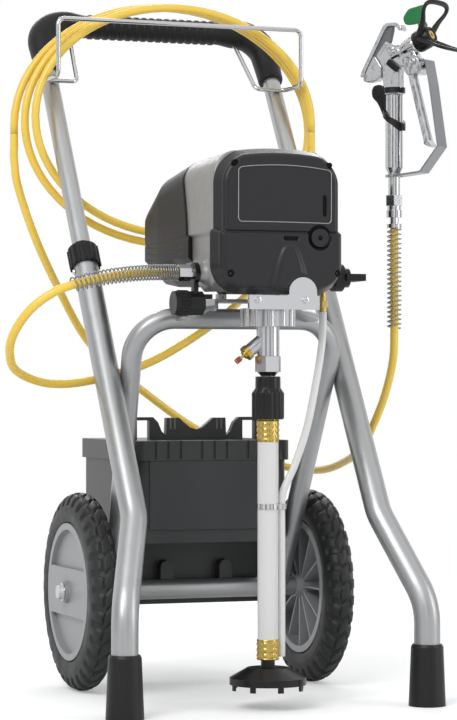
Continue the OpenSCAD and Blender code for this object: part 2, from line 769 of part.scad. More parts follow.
module motor_shroud() {
    high = case_z + case_h - 6;
    placed() color("#262628") difference() {
        union() {
            difference() {
                union() {
                    case_block(shroud_y, shroud_y + 110, 2 * shroud_half_w, 2 * shroud_half_w,
                        high, high - 14, case_z + 20, case_z + 18, 34);
                    case_block(shroud_y + 110, shroud_back_y, 2 * shroud_half_w, 2 * shroud_half_w - 6,
                        high - 14, high - 52, case_z + 18, case_z + 26, 34);
                }
                case_block(shroud_y - 1, shroud_y + 110, 2 * shroud_half_w - 2 * case_wall,
                    2 * shroud_half_w - 2 * case_wall, high - case_wall, high - 14 - case_wall,
                    case_z + 20 + case_wall, case_z + 18 + case_wall, 30);
                case_block(shroud_y + 109.9, shroud_back_y - case_wall, 2 * shroud_half_w - 2 * case_wall,
                    2 * shroud_half_w - 6 - 2 * case_wall, high - 14 - case_wall, high - 52 - case_wall,
                    case_z + 18 + case_wall, case_z + 26 + case_wall, 30);
            }
            pin_y(bearing_y, shroud_back_y - 2, 0, motor_z, rotor_d + 16);
        }
        pin_y(bearing_y - 1, shroud_back_y - 12, 0, motor_z, rotor_d + 2 * run_gap);
        for (k = [0:5]) {
            translate([-44 + 15 * k, shroud_back_y - case_wall - 3, case_z + 50]) cube([6, 10, 26]);
        }
        pin_y(shroud_back_y - case_wall - 3, shroud_back_y + 1, gland_x, gland_z, 14 + 2 * fit_gap);
    }
}

gland_x = 44;
gland_z = case_z + 94;

// Gland where the mains lead would come in
module cable_gland() {
    placed() color("#141416") difference() {
        union() {
            pin_y(shroud_back_y - 8, shroud_back_y + 14, gland_x, gland_z, 14);
            pin_y(shroud_back_y, shroud_back_y + 5, gland_x, gland_z, 22);
        }
        pin_y(shroud_back_y - 9, shroud_back_y + 15, gland_x, gland_z, 8.4);
    }
}

module motor_stator() {
    placed() color("#7a5a3a") difference() {
        pin_y(web_y + web_t, web_y + 146, 0, motor_z, stator_d);
        pin_y(web_y, web_y + 147, 0, motor_z, armature_d + 3);
    }
}

// Toothed disc along Y: its pitch radius is its teeth times the module over two
module toothed(teeth, phase, y0, y1, x, z) {
    r = gear_module * teeth / 2;
    pitch = 360 / teeth;
    translate([x, 0, z]) plate_y(y0, y1) polygon([for (k = [0:teeth - 1])
        let(a = pitch * k + phase)
        each [for (q = [[-0.3, -1.15], [-0.14, 0.85], [0.14, 0.85], [0.3, -1.15]])
            (r + gear_module * q[1]) * [cos(a + pitch * q[0]), sin(a + pitch * q[0])]]]);
}

module crank_gear() {
    disc_d = 2 * crank_throw + 22;
    placed() color("#9b9da0") {
        difference() {
            toothed(crank_teeth, 0, gear_y, gear_y + gear_t, 0, crank_z);
            for (k = [0:4]) {
                pin_y(gear_y - 1, gear_y + gear_t + 1, 28 * cos(72 * k), crank_z + 28 * sin(72 * k), 14);
            }
        }
        pin_y(gear_y - 22, gear_y + 1, 0, crank_z, disc_d);
        pin_y(gear_y + gear_t - 1, web_y + web_t, 0, crank_z, shaft_d);
        pin_y(pump_y - 8, gear_y - 21, crank_throw, crank_z, 10);
    }
}

fan_y = bearing_y - 14;
fan_blades = 9;

module rotor() {
    placed() color("#b07b4a") {
        toothed(pinion_teeth, 90, gear_y, gear_y + gear_t, 0, motor_z);
        pin_y(gear_y + gear_t - 1, shroud_back_y - 13, 0, motor_z, rotor_d);
        pin_y(web_y + 30, web_y + 120, 0, motor_z, armature_d);
        pin_y(web_y + 148, web_y + 166, 0, motor_z, 30);
        pin_y(fan_y, fan_y + 2, 0, motor_z, 104);
        for (k = [0:fan_blades - 1]) {
            translate([0, fan_y - 10, motor_z]) rotate([0, 360 * k / fan_blades, 0])
                translate([16, 0, -1]) cube([34, 11, 2]);
        }
    }
}

yoke_half_h = 2 * crank_throw + 5 + 0.6;
yoke_half_w = crank_throw + 5 + 0.6;

module piston_rod() {
    placed() color("#c9cbcd") {
        difference() {
            translate([-yoke_half_w - 8, pump_y - 6, crank_z - yoke_half_h - 7])
                cube([2 * yoke_half_w + 16, 12, 2 * yoke_half_h + 14]);
            translate([-yoke_half_w, pump_y - 7, crank_z - yoke_half_h])
                cube([2 * yoke_half_w, 14, 2 * yoke_half_h]);
        }
        pin_z(pump_low_z + 26, crank_z - yoke_half_h - 6, 0, pump_y, rod_d);
        pin_z(pump_low_z + 14, pump_low_z + 36, 0, pump_y, piston_d);
    }
}

// Saddle of bent sheet that carries the gear housing on the cross frame
bracket_t = 3;
bracket_top_z = case_z - 5;
bracket_profile = [[-100, cross_z - 4], [-58, cross_z + u_tube_d / 2 - 1], [-58, bracket_top_z - bracket_t],
    [58, bracket_top_z - bracket_t], [58, cross_z + u_tube_d / 2 - 1], [100, cross_z - 4],
    [100, cross_z - 1], [61, cross_z + u_tube_d / 2 + 3], [61, bracket_top_z], [-61, bracket_top_z],
    [-61, cross_z + u_tube_d / 2 + 3], [-100, cross_z - 1]];

module motor_bracket() {
    placed() color("#a9abad") difference() {
        union() {
            plate_y(case_y + 86, cross_y + u_tube_d / 2 + 14) polygon(bracket_profile);
            for (x = [-42, 42]) {
                pin_z(cross_z + u_tube_d / 2 - 6, bracket_top_z - 1, x, cross_y, 22);
                pin_z(bracket_top_z - 1, case_z + 4, x, case_y + 112, 16);
            }
        }
        pin_x(-140, 140, cross_y, cross_z, u_tube_d + 2 * part_gap);
        case_block(case_y, case_back_y, 2 * case_half_w + 4, 2 * case_half_w, case_z + case_h,
            case_z + case_h - 6, case_z - fit_gap, case_z + 4 - fit_gap, 30);
    }
}

// ---- Pump ----

pump_neck_d = 58;
branch_dir = unit([-0.78, 0, -0.62]);
branch_at = [0, pump_y, pump_low_z + 30];
branch_l = 37;
flutes = 12;

module pump_body() {
    placed() color("#a5a7a9") difference() {
        union() {
            pin_z(pump_collar_top, case_z - part_gap, 0, pump_y, pump_neck_d);
            pin_z(pump_collar_top - pump_collar_h, pump_collar_top, 0, pump_y, pump_collar_d - 5);
            for (k = [0:flutes - 1]) {
                a = 360 * (k + 0.5) / flutes;
                pin_z(pump_collar_top - pump_collar_h, pump_collar_top,
                    (pump_collar_d / 2 - 6) * cos(a), pump_y + (pump_collar_d / 2 - 6) * sin(a), 12);
            }
            pin_z(pump_low_z, pump_collar_top - 4, 0, pump_y, pump_d);
            rod(branch_at, branch_at + branch_l * branch_dir, 19);
        }
        pin_z(pump_low_z + 6, case_z + 1, 0, pump_y, piston_d + 2 * run_gap);
        pin_z(pump_low_z - 1, pump_low_z + 7, 0, pump_y, 10);
        rod(branch_at + 16 * branch_dir, branch_at + (branch_l + 1) * branch_dir, 8);
    }
}

inlet_nut_z = pump_low_z - inlet_nut_h;
spigot_low_z = inlet_nut_z - 26;
spigot_d = 20;

module inlet_nut() {
    placed() color("#c4c6c8") difference() {
        union() {
            translate([0, pump_y, inlet_nut_z])
                cylinder(h = inlet_nut_h - part_gap, d = inlet_nut_af / cos(30), $fn = 6);
            translate([0, pump_y, inlet_nut_z - 6]) cylinder(h = 6.5, d1 = spigot_d, d2 = inlet_nut_af - 2);
            pin_z(spigot_low_z, inlet_nut_z - 5, 0, pump_y, spigot_d);
        }
        pin_z(spigot_low_z - 1, pump_low_z + 1, 0, pump_y, 12);
    }
}

swivel_top_z = inlet_nut_z - 6.5;
swivel_low_z = swivel_top_z - swivel_nut_l;
nut_ribs = 18;

module suction_nut() {
    placed() color("#1f1f21") difference() {
        union() {
            pin_z(swivel_top_z - 14, swivel_top_z, 0, pump_y, swivel_nut_d - 10);
            translate([0, pump_y, swivel_top_z - 20])
                cylinder(h = 6.1, d1 = swivel_nut_d - 2, d2 = swivel_nut_d - 10);
            pin_z(swivel_low_z, swivel_top_z - 20, 0, pump_y, swivel_nut_d - 2);
            for (k = [0:nut_ribs - 1]) {
                a = 360 * k / nut_ribs;
                pin_z(swivel_low_z + 1, swivel_top_z - 22, (swivel_nut_d / 2 - 1.6) * cos(a),
                    pump_y + (swivel_nut_d / 2 - 1.6) * sin(a), 3.2);
            }
        }
        pin_z(swivel_low_z - 1, swivel_top_z + 1, 0, pump_y, spigot_d + 2 * run_gap);
        pin_z(swivel_low_z - 1, spigot_low_z + 1, 0, pump_y, suction_d + 1 + 2 * run_gap);
    }
}

ferrule_l = 32;
suction_top_z = swivel_low_z - ferrule_l;
neck_low_z = suction_low_z - 29;

// Brass hose tails at both ends of the suction tube, and the gland of the inlet pusher
module brass_ferrules() {
    placed() color("#c9a64a") {
        difference() {
            union() {
                pin_z(suction_top_z, spigot_low_z - part_gap, 0, pump_y, suction_d + 1);
                pin_z(suction_top_z - 26, suction_top_z + 1, 0, pump_y, suction_d - 2 * suction_wall - 2 * fit_gap);
            }
            pin_z(suction_top_z - 27, spigot_low_z + 1, 0, pump_y, 16);
            pin_z(suction_top_z + 9, suction_top_z + 11, 0, pump_y, 40);
        }
        difference() {
            union() {
                pin_z(neck_low_z, suction_low_z, 0, pump_y, suction_d + 1);
                pin_z(suction_low_z - 1, suction_low_z + 26, 0, pump_y, suction_d - 2 * suction_wall - 2 * fit_gap);
            }
            pin_z(neck_low_z - 1, suction_low_z + 27, 0, pump_y, 16);
        }
        difference() {
            union() {
                p = branch_at + branch_l * branch_dir;
                rod(p + part_gap * branch_dir, p + 7 * branch_dir, 22);
                rod(p + 6 * branch_dir, p + 10 * branch_dir, 12);
            }
            rod(branch_at, branch_at + 60 * branch_dir, 4 + 2 * run_gap);
        }
    }
}

module inlet_pusher() {
    p = branch_at + branch_l * branch_dir;
    placed() {
        color("#c9a64a") rod(p - 16 * branch_dir, p + 17 * branch_dir, 4);
        color("#9c2b2b") rod(p + 16 * branch_dir, p + 25 * branch_dir, 7.5);
    }
}

module suction_tube() {
    placed() color("#e4e6e6") difference() {
        pin_z(suction_low_z + part_gap, suction_top_z - part_gap, 0, pump_y, suction_d);
        pin_z(suction_low_z - 1, suction_top_z + 1, 0, pump_y, suction_d - 2 * suction_wall);
    }
}

return_run_x = (suction_d + return_d) / 2 + part_gap;
return_top_z = case_z - 24;
return_low_z = neck_low_z + 4;
return_route = [[return_x, prime_y, return_top_z], [return_x, prime_y, 556], [85, 50, 520],
    [76, 48, 470], [60, 46, 400], [40, pump_y, 345], [return_run_x + 3, pump_y, 312],
    [return_run_x, pump_y, 290], [return_run_x, pump_y, 250], [return_run_x, pump_y, return_low_z]];

module return_tube() {
    placed() color("#dfe3e4") difference() {
        swept_tube(smooth_path(return_route, 4), return_d, 12, [0, 1, 0]);
        pin_z(return_top_z - 14, return_top_z + 1, return_x, prime_y, 6 + 2 * fit_gap);
    }
}

module return_fitting() {
    placed() color("#c9a64a") {
        pin_z(return_top_z - 12, return_top_z + 1, return_x, prime_y, 6);
        pin_z(return_top_z + part_gap, return_top_z + 8, return_x, prime_y, 10);
        translate([return_x, prime_y, return_top_z + 7]) cylinder(h = 9, d = 14, $fn = 6);
        pin_z(return_top_z + 15, case_z + 13, return_x, prime_y, 9);
    }
}

// Thin metal band round both tubes
module tube_clamp() {
    band = 1.2;
    placed() color("#c0c2c4") translate([0, pump_y, clamp_z]) difference() {
        union() {
            cylinder(h = 8, d = suction_d + 2 * band + 2 * fit_gap);
            translate([return_run_x, 0, 0]) cylinder(h = 8, d = return_d + 2 * band + 2 * part_gap);
            translate([suction_d / 2 - 8, -return_d / 2 - band, 0]) cube([16, return_d + 2 * band, 8]);
        }
        translate([0, 0, -1]) cylinder(h = 10, d = suction_d + 2 * fit_gap);
        translate([return_run_x, 0, -1]) cylinder(h = 10, d = return_d + 2 * part_gap);
    }
}

strainer_h = 24;

module suction_strainer() {
    top = strainer_low_z + 8 + strainer_h;
    placed() color("#232325") difference() {
        union() {
            translate([0, pump_y, strainer_low_z + 8]) cylinder(h = 10, d = strainer_d);
            translate([0, pump_y, strainer_low_z + 18])
                cylinder(h = strainer_h - 10, d1 = strainer_d, d2 = strainer_d * 0.55);
            pin_z(top - 1, neck_low_z - part_gap, 0, pump_y, 20);
            for (k = [0:7]) {
                translate([0, pump_y, strainer_low_z]) rotate(45 * k)
                    translate([strainer_d / 2 - 8, -4, 0]) cube([6, 8, 9]);
            }
        }
        pin_z(strainer_low_z - 1, strainer_low_z + 14, 0, pump_y, strainer_d - 10);
        pin_z(strainer_low_z, neck_low_z + 1, 0, pump_y, 12);
    }
}

shield_y = cover_y - 1.5 - part_gap;
shield_z = case_z - 10;
shield_screw_x = [-38, 34];

// Bright plate over the piston opening with its half-round drip tab
module drip_shield() {
    placed() color("#d3d5d7") difference() {
        union() {
            translate([-50, shield_y, case_z - 23]) cube([106, 1.5, 20]);
            translate([31, 0, 0]) plate_y(shield_y, shield_y + 1.5) {
                translate([-21, case_z - 6]) square([42, 8]);
                intersection() {
                    translate([0, case_z + 2]) circle(21);
                    translate([-21, case_z - 2]) square([42, 40]);
                }
            }
            for (x = shield_screw_x) {
                pin_y(shield_y + 1.4, case_y - part_gap, x, shield_z, 9);
            }
        }
        for (x = shield_screw_x) {
            pin_y(shield_y - 1, shield_y + 13, x, shield_z, 4 + 2 * fit_gap);
        }
    }
}

nipple_x = -boss_x - 30;

module outlet_nipple() {
    placed() color("#d0d2d4") {
        pin_x(-boss_x - 1, 12 - boss_x, outlet_y, outlet_z, 12);
        pin_x(-boss_x - 14, -boss_x - part_gap, outlet_y, outlet_z, 18);
        translate([nipple_x, outlet_y, outlet_z]) rotate([0, 90, 0]) cylinder(h = 18, d = 24, $fn = 6);
    }
}

knob_y = outlet_y;
knob_z = case_z - 13;
hex_x = -96;

// Black clip round the outlet and the arm that carries the pressure valve
module knob_bracket() {
    placed() color("#1c1c1e") difference() {
        union() {
            pin_x(-boss_x - 8, -boss_x - 1, outlet_y, outlet_z, 30);
            translate([-boss_x - 8, knob_y - 6, knob_z + 8]) cube([7, 12, outlet_z - knob_z - 20]);
            translate([hex_x - 20, knob_y, knob_z]) rotate([0, 90, 0]) cylinder(h = 22, d = 34, $fn = 6);
            translate([hex_x - 6, knob_y - 9, knob_z + 6]) cube([20, 18, 7 - part_gap]);
        }
        pin_x(-boss_x - 9, -boss_x, outlet_y, outlet_z, 18 + 2 * fit_gap);
        pin_x(hex_x - 21, hex_x - 4, knob_y, knob_z, 10 + 2 * run_gap);
    }
}

knob_grips = 20;

module pressure_knob() {
    x1 = hex_x - 20 - part_gap;
    placed() color("#151517") {
        pin_x(x1 - 2, hex_x - 5, knob_y, knob_z, 10);
        pin_x(x1 - 22, x1, knob_y, knob_z, pressure_knob_d - 4);
        for (k = [0:knob_grips - 1]) {
            a = 360 * k / knob_grips;
            pin_x(x1 - 16, x1 - 1, knob_y + (pressure_knob_d / 2 - 2.4) * cos(a),
                knob_z + (pressure_knob_d / 2 - 2.4) * sin(a), 4);
        }
    }
}

module prime_knob() {
    x0 = boss_x + part_gap;
    placed() color("#151517") {
        pin_x(x0 - 7, x0 + 1, prime_y, prime_z, 8);
        pin_x(x0, x0 + 14, prime_y, prime_z, prime_knob_d);
        pin_x(x0 + 13, x0 + 24, prime_y, prime_z, prime_knob_d - 12);
        translate([x0 + 13, prime_y - prime_knob_d / 2 - 4, prime_z - 5]) cube([30, prime_knob_d + 8, 10]);
    }
}

module oiler_button() {
    placed() color("#6d6f71") difference() {
        pin_y(cover_y - 3, cover_y + 14, oiler_x, oiler_z, oiler_d);
        pin_y(cover_y - 4, cover_y - 1, oiler_x, oiler_z, 6);
    }
}

// ---- Tool box ----

ledge_y = axle_y + u_tube_d / 2 + 4;
ledge_z = 225;
lug_x = 48;
box_back_y = box_front_y + box_depth;

// A tray outline seen from above, with round back and front corners
module tray_block(w, y0, y1, z0, z1, r) {
    translate([0, (y0 + y1) / 2, z0]) linear_extrude(z1 - z0) round_rect(w, y1 - y0, r);
}

module tool_box() {
    w = 2 * (box_half_w - 6);
    t = box_wall;
    top = lid_low_z - part_gap;
    placed() color("#2c2c2e") difference() {
        union() {
            tray_block(w, box_front_y + 3, box_back_y - 3, ledge_z, top, 22);
            tray_block(w, ledge_y, box_back_y - 3, box_low_z, ledge_z + 1, 16);
            translate([-103, box_front_y, ledge_z + 20]) cube([206, 5, top - ledge_z - 20]);
            for (x = [-lug_x, lug_x]) {
                translate([x - 10.5, axle_y, axle_z + u_tube_d / 2 + part_gap]) cube([21, ledge_y - axle_y + 1, 18]);
                pin_y(axle_y, ledge_y + 1, x, axle_z + u_tube_d / 2 + part_gap + 18, 21);
            }
        }
        tray_block(w - 2 * t, box_front_y + 3 + t, box_back_y - 3 - t, ledge_z + t, top + 1, 19);
        tray_block(w - 2 * t, ledge_y + t, box_back_y - 3 - t, box_low_z + t, ledge_z + t + 1, 13);
    }
}

loop_y = 361;
loop_t = 12;
lid_top_z = lid_low_z + lid_h;
loop_post = [28, 48];
notch_w = 4;

// Front view of one half of the wall on the lid: saddle, slotted post and carry loop
module loop_half() {
    translate([0, lid_top_z - 1]) difference() {
        polygon([[0, 0], [0, loop_h / 2 - 1], [10, loop_h / 2 + 2], [20, loop_h - 8], [loop_post[0], loop_h - 1],
            [loop_post[1], loop_h - 1], [loop_post[1] + 1, 8], [56, 14], [62, loop_h - 8], [70, loop_h],
            [100, loop_h], [105, loop_h - 5], [105, 0]]);
        translate([76, 0]) square([20, loop_h - 5]);
        translate([loop_post[0] + 5, loop_h / 2]) square([3, loop_h]);
        translate([loop_post[1] - 8, loop_h / 2]) square([3, loop_h]);
    }
}

module box_lid() {
    w = 2 * box_half_w;
    placed() color("#3a3a3c") difference() {
        union() {
            tray_block(w, box_front_y, box_back_y, lid_low_z, lid_top_z, 25);
            for (side = [left, right]) mirror([side < 0 ? 1 : 0, 0, 0])
                plate_y(loop_y - loop_t / 2, loop_y + loop_t / 2) loop_half();
        }
        tray_block(w - 8, box_front_y + 4, box_back_y - 4, lid_low_z - 1, lid_top_z - 4, 21);
        for (g = [-74, 0, 74], k = [-20, 0, 20]) {
            translate([g + k - notch_w / 2, box_front_y - 1, lid_low_z + 3]) cube([notch_w, 3.5, lid_h]);
        }
    }
}

// ---- Hose ----

coil_right = 226.5;
coil_right_step = 3;
coil_top = 1057;
coil_top_step = 2;
coil_front = 444;
coil_rings = 24;
tail = hose_d * 1.2;

// The turns rest on the hook, so they share their top and right side and grow to the left and down
function coil_at(t) =
    let(more = coil_grow * (coil_turns - t), a = coil_a - more, b = coil_b - more,
        x = coil_right + coil_right_step * t, z = coil_top + coil_top_step * t)
    [x - a + a * cos(360 * t), coil_front + coil_pitch * t, z - b + b * sin(360 * t)];
coil_path = concat([coil_at(0) - [0, 0, tail]],
    [for (i = [0:coil_turns * coil_rings]) coil_at(i / coil_rings)],
    [coil_at(coil_turns) - [0, 0, tail]]);
coil_start = coil_path[0] - [0, 0, part_gap];
coil_end = coil_path[len(coil_path) - 1] - [0, 0, part_gap];

guard_l = 158;
guard_straight = 20;
guard_drop = 20;
guard_mean_d = guard_d - guard_wire_d;
guard_seat = guard_wire_d / 2 + part_gap;
gun_x = 278;
gun_y = 230;
gun_z = 712;
hose_end_z = gun_z - 8 - part_gap;

// Centre line of the guard at the pump: straight out of the nipple, then sagging
function pump_guard_at(s) = [nipple_x - s, outlet_y,
    outlet_z - guard_drop * pow(max(0, s - guard_straight) / (guard_l - guard_straight), 2)];
function gun_guard_at(s) = [gun_x, gun_y, gun_z - 8 - s];

pump_route = [pump_guard_at(part_gap), pump_guard_at(18), pump_guard_at(36), pump_guard_at(75),
    pump_guard_at(117), pump_guard_at(guard_l), [-318, 65, 589], [-344, 76, 567], [-360, 96, 538],
    [-360, 124, 510], [-338, 164, 482], [-275, 214, 465], [-197, 246, 471], [-109, 254, 497],
    [-20, 275, 543], [56, 335, 586], [112, 388, 625], [176, 420, 690], [214, 438, 770],
    [226, 444, 830], coil_start - [0, 0, 20], coil_start];
gun_route = [coil_end, coil_end - [0, 0, 20], coil_end - [0, 0, 40], [-250, 478, 770], [-220, 482, 689],
    [-173, 510, 610], [-122, 550, 543], [-69, 580, 496], [-11, 595, 456], [68, 600, 402],
    [145, 600, 362], [210, 592, 336], [254, 562, 325], [275, 505, 326], [280, 430, 341],
    [273, 345, 364], [262, 278, 398], [266, 240, 446], [276, 231, 500], [gun_x, gun_y, 545],
    [gun_x, gun_y, 600], [gun_x, gun_y, 655], [gun_x, gun_y, hose_end_z - 14], [gun_x, gun_y, hose_end_z]];
pump_path = smooth_path(pump_route, 2);
gun_path = smooth_path(gun_route, 2);

module hose_coil() {
    placed() color("#d9ad3c") swept_tube(coil_path, hose_d, 6, [0, 1, 0]);
}

module hose_pump_lead() {
    placed() color("#d9ad3c") swept_tube(pump_path, hose_d, 8, [0, 1, 0]);
}

module hose_gun_lead() {
    placed() color("#d9ad3c") swept_tube(gun_path, hose_d, 8, [1, 0, 0]);
}

// Wire point k of a spring round a centre line c, with frame vectors u and w
function curl_point(c, u, w, k) = c + guard_mean_d / 2 * (cos(45 * k) * u + sin(45 * k) * w);
pump_curls = 31;
gun_curls = 21;

module pump_spring_guard() {
    n = 8 * pump_curls;
    wire = [for (k = [0:n])
        let(s = guard_seat + (guard_l - 4) * (0.6 * k / n + 0.4 * k * k / n / n),
            v = unit(pump_guard_at(s + 1) - pump_guard_at(s - 1)))
        curl_point(pump_guard_at(s), [0, 1, 0], cross(v, [0, 1, 0]), k)];
    placed() color("#bfc2c4") swept_tube(wire, guard_wire_d, 6, [1, 0, 0]);
}

module gun_spring_guard() {
    n = 8 * gun_curls;
    wire = [for (k = [0:n]) let(s = guard_seat + (guard_l - 6) * k / n)
        curl_point(gun_guard_at(s), [1, 0, 0], [0, 1, 0], k)];
    placed() color("#bfc2c4") swept_tube(wire, guard_wire_d, 6, [0, 0, 1]);
}

echo(coil_gap = self_gap(coil_path, 8, hose_d));
echo(hose_lengths = [path_length(pump_path), path_length(coil_path), path_length(gun_path)]);

// ---- Spray gun ----

grip_top = 196;
grip_low = grip_top - gun_handle_l;
neck_d = 18;
spigot = 12;

// The gun's own frame: X along the way it points, Z up its handle
module at_gun() {
    translate([gun_x, gun_y, gun_z]) rotate([0, 0, gun_yaw]) children();
}

// The barrel's frame: Z along the barrel, minus X upwards
barrel_at = [5.2, 258.7];
module at_barrel() {
    at_gun() translate([barrel_at[0], 0, barrel_at[1]]) rotate([0, 90 - barrel_tilt, 0]) children();
}

// A drawing with its X along the barrel and its Y upwards, thick from y0 to y1
module fin(y0, y1) {
    multmatrix([[0, -1, 0, 0], [0, 0, -1, y1], [1, 0, 0, 0], [0, 0, 0, 1]])
        linear_extrude(y1 - y0) children();
}

// A flat band of width w along the points, round at every joint
module ribbon(pts, w) {
    for (i = [0:len(pts) - 2]) {
        v = pts[i + 1] - pts[i];
        translate(pts[i]) rotate(atan2(v[1], v[0])) translate([0, -w / 2]) square([norm(v), w]);
        translate(pts[i + 1]) circle(w / 2 + seam_t);
    }
    translate(pts[0]) circle(w / 2 + seam_t);
}

module hose_swivel() {
    placed() color("#c6c8ca") at_gun() {
        translate([0, 0, -8]) cylinder(h = 6, d = guard_d);
        translate([0, 0, -3]) cylinder(h = 12, d = neck_d - 4);
        translate([0, 0, 8]) cylinder(h = 11, d = 24);
        translate([0, 0, 18]) cylinder(h = 9, d = 21);
        translate([0, 0, 26]) cylinder(h = 16, d = 28, $fn = 6);
        translate([0, 0, 41]) cylinder(h = 20, d = spigot);
    }
}

module gun_grip_tube() {
    placed() color("#d6d8da") at_gun() difference() {
        union() {
            translate([0, 0, 42 + part_gap]) cylinder(h = grip_low - 50, d = neck_d);
            translate([0, 0, grip_low - 9]) cylinder(h = 9, d1 = neck_d, d2 = gun_handle_d);
            translate([0, 0, grip_low]) cylinder(h = gun_handle_l - part_gap, d = gun_handle_d);
        }
        translate([0, 0, 40]) cylinder(h = 23, d = spigot + 2 * run_gap);
        translate([0, 0, 62]) cylinder(h = 25, d = 7);
        translate([0, 0, grip_low + 3]) cylinder(h = gun_handle_l, d = gun_handle_d - 6);
    }
}

pivot = [38, 244];
lock_at = [4.6, 240];
barrel_l = 46;

module gun_body() {
    h = gun_body_t / 2;
    placed() color("#cfd1d3") difference() {
        union() {
            at_gun() {
                plate_y(-h, h) polygon([[-54.5, 235], [-15.5, 304], [-12, 306.5], [8, 306.5], [15, 303],
                    [18, 297], [16.5, 293], [12, 294], [8, 299.5], [3, 301], [-1, 296.5], [-6, 276],
                    [12, 270], [20, 256], [16, 240], [13, 228], [13, grip_top], [-13, grip_top], [-16, 220],
                    [-18, 227.5], [-28, 219], [-48, 218.5], [-56, 228.5]]);
                plate_y(-h, h) polygon([[14, 262], [15, 238], [30, 237], [46, 237], [50, 242], [50, 249],
                    [44, 253], [40, 262]]);
                translate([0, 0, grip_top - 14]) cylinder(h = 15, d = gun_handle_d - 6 - 2 * fit_gap);
            }
            at_barrel() {
                translate([0, 0, 1.6]) cylinder(h = barrel_l - 1.6, d = gun_barrel_d);
                translate([0, 0, 5]) cylinder(h = 5, d = gun_barrel_d + 3);
                translate([0, 0, 15]) cylinder(h = head_s - 15 - part_gap, d = gun_barrel_d + 6);
            }
        }
        at_barrel() translate([0, 0, -3]) cylinder(h = 60, d = 4 + 2 * run_gap);
        at_gun() {
            pin_y(-h - 1, h + 1, pivot[0], pivot[1], 5 + 2 * run_gap);
            pin_y(-h - 1, 0, lock_at[0], lock_at[1], 4 + 2 * run_gap);
        }
    }
}

module gun_needle() {
    placed() color("#9fa1a3") at_barrel() translate([0, 0, 2]) cylinder(h = barrel_l - 8, d = 4);
}

// Cheeks on both sides of the lug, a block below it and two long bars for the fingers
module gun_trigger() {
    in = gun_body_t / 2 + part_gap;
    placed() color("#c2c4c6") at_gun() {
        for (y = [-in - 3, in]) {
            plate_y(y, y + 3) polygon([[24, 232], [29, 225], [46, 225], [54.5, 232], [54.5, 240], [44, 249.5],
                [36, 251], [26, 243]]);
        }
        pin_y(-in - 1, in + 1, pivot[0], pivot[1], 5);
        plate_y(-in - 2, in + 2) polygon([[29, 224], [50, 224], [55, 231], [55, 234], [34, 234], [29, 229]]);
        for (y = [-8.6, 3.8]) {
            plate_y(y, y + 4.8) polygon([[29.5, 226], [36.5, 226], [41, 209], [64.5, 121], [58, 119.5],
                [33.8, 209]]);
        }
        plate_y(-8.4, 8.4) polygon([[57.6, 123], [64.2, 123], [70, 116], [67, 112.5], [57, 117.5]]);
    }
}

module trigger_lock() {
    in = gun_body_t / 2 + part_gap;
    placed() color("#161618") at_gun() {
        plate_y(-in - 5, -in) translate(lock_at) rotate(-38) round_rect(24, 10.5, 5);
        pin_y(-in - 1, -1, lock_at[0], lock_at[1], 4);
    }
}

// A thin strap from the neck round the fingers to the lug of the body
module finger_guard() {
    w = finger_guard_w / 2;
    placed() color("#6e7072") at_gun() difference() {
        union() {
            plate_y(-w, w) ribbon([[7, 71.8], [30, 73.5], [53, 75.5], [84.5, 113], [70, 207], [62.5, 244],
                [51.6, 246]], 2.6);
            translate([0, 0, 70]) rotate(180) cylinder(h = 3.6, d = neck_d + 9);
        }
        translate([0, 0, 69]) rotate(180) cylinder(h = 6, d = neck_d + 2 * fit_gap);
    }
}

// Black rest for the hand: a ring under the body, a bulge behind it and a strap across the handle
module grip_rest() {
    placed() color("#161618") at_gun() difference() {
        union() {
            translate([0, 0, grip_top + 3]) cylinder(h = 8, d = gun_handle_d + 7);
            plate_y(-8, 8) polygon([[-35.5, 206], [-32.5, 195], [-25, 189.5], [-19.5, 178], [-15, 166],
                [-10, 166], [-10, 206], [-22, 212]]);
            intersection() {
                translate([0, 0, 100]) cylinder(h = 106, d = gun_handle_d + 8);
                translate([0, 0, 158]) rotate([0, 35, 0]) translate([0, 0, -4.5]) cylinder(h = 9, d = 90);
            }
        }
        translate([0, 0, 100]) cylinder(h = grip_top - 98, d = gun_handle_d + 2 * fit_gap);
        plate_y(-gun_body_t / 2 - part_gap, gun_body_t / 2 + part_gap)
            polygon([[-13.3, grip_top - 1], [-16.4, 221], [20, 221], [13.3, grip_top - 1]]);
    }
}

head_s = 38;
head_l = 30;
tip_s = 57;
wing_s = 50;
wing_a = 42;

// A flat loop that stands out from the head, above the barrel or below it
module wing(side) {
    translate([0, 0, wing_s]) rotate([0, -90 - side * wing_a, 0]) translate([0, 0, -2.5])
        linear_extrude(5) difference() {
            polygon([[10, -13], [22, -22], [46, -36], [54, -34], [60, -22], [62.5, -8], [62.5, 8], [60, 22],
                [54, 34], [46, 36], [22, 22], [10, 13]]);
            polygon([[22, -13], [28, -17], [46, -28.5], [51, -26], [54.5, -16], [56, -6], [56, 6],
                [54.5, 16], [51, 26], [46, 28.5], [28, 17], [22, 13]]);
        }
}

module tip_guard() {
    d = tip_guard_d;
    placed() color("#1d1d1f") at_barrel() difference() {
        union() {
            translate([0, 0, head_s]) cylinder(h = head_l - 6, d = d);
            translate([0, 0, head_s + head_l - 6]) cylinder(h = 6, d1 = d - 1, d2 = d - 8);
            wing(1);
            wing(-1);
        }
        translate([0, 0, head_s - 1]) cylinder(h = barrel_l - head_s + 1 + part_gap, d = gun_barrel_d + 2 * run_gap);
        translate([0, 0, tip_s]) cylinder(h = 40, d = 13);
        translate([-d, 0, tip_s]) rotate([0, 90, 0]) cylinder(h = 2 * d, d = spigot + 2 * run_gap);
    }
}

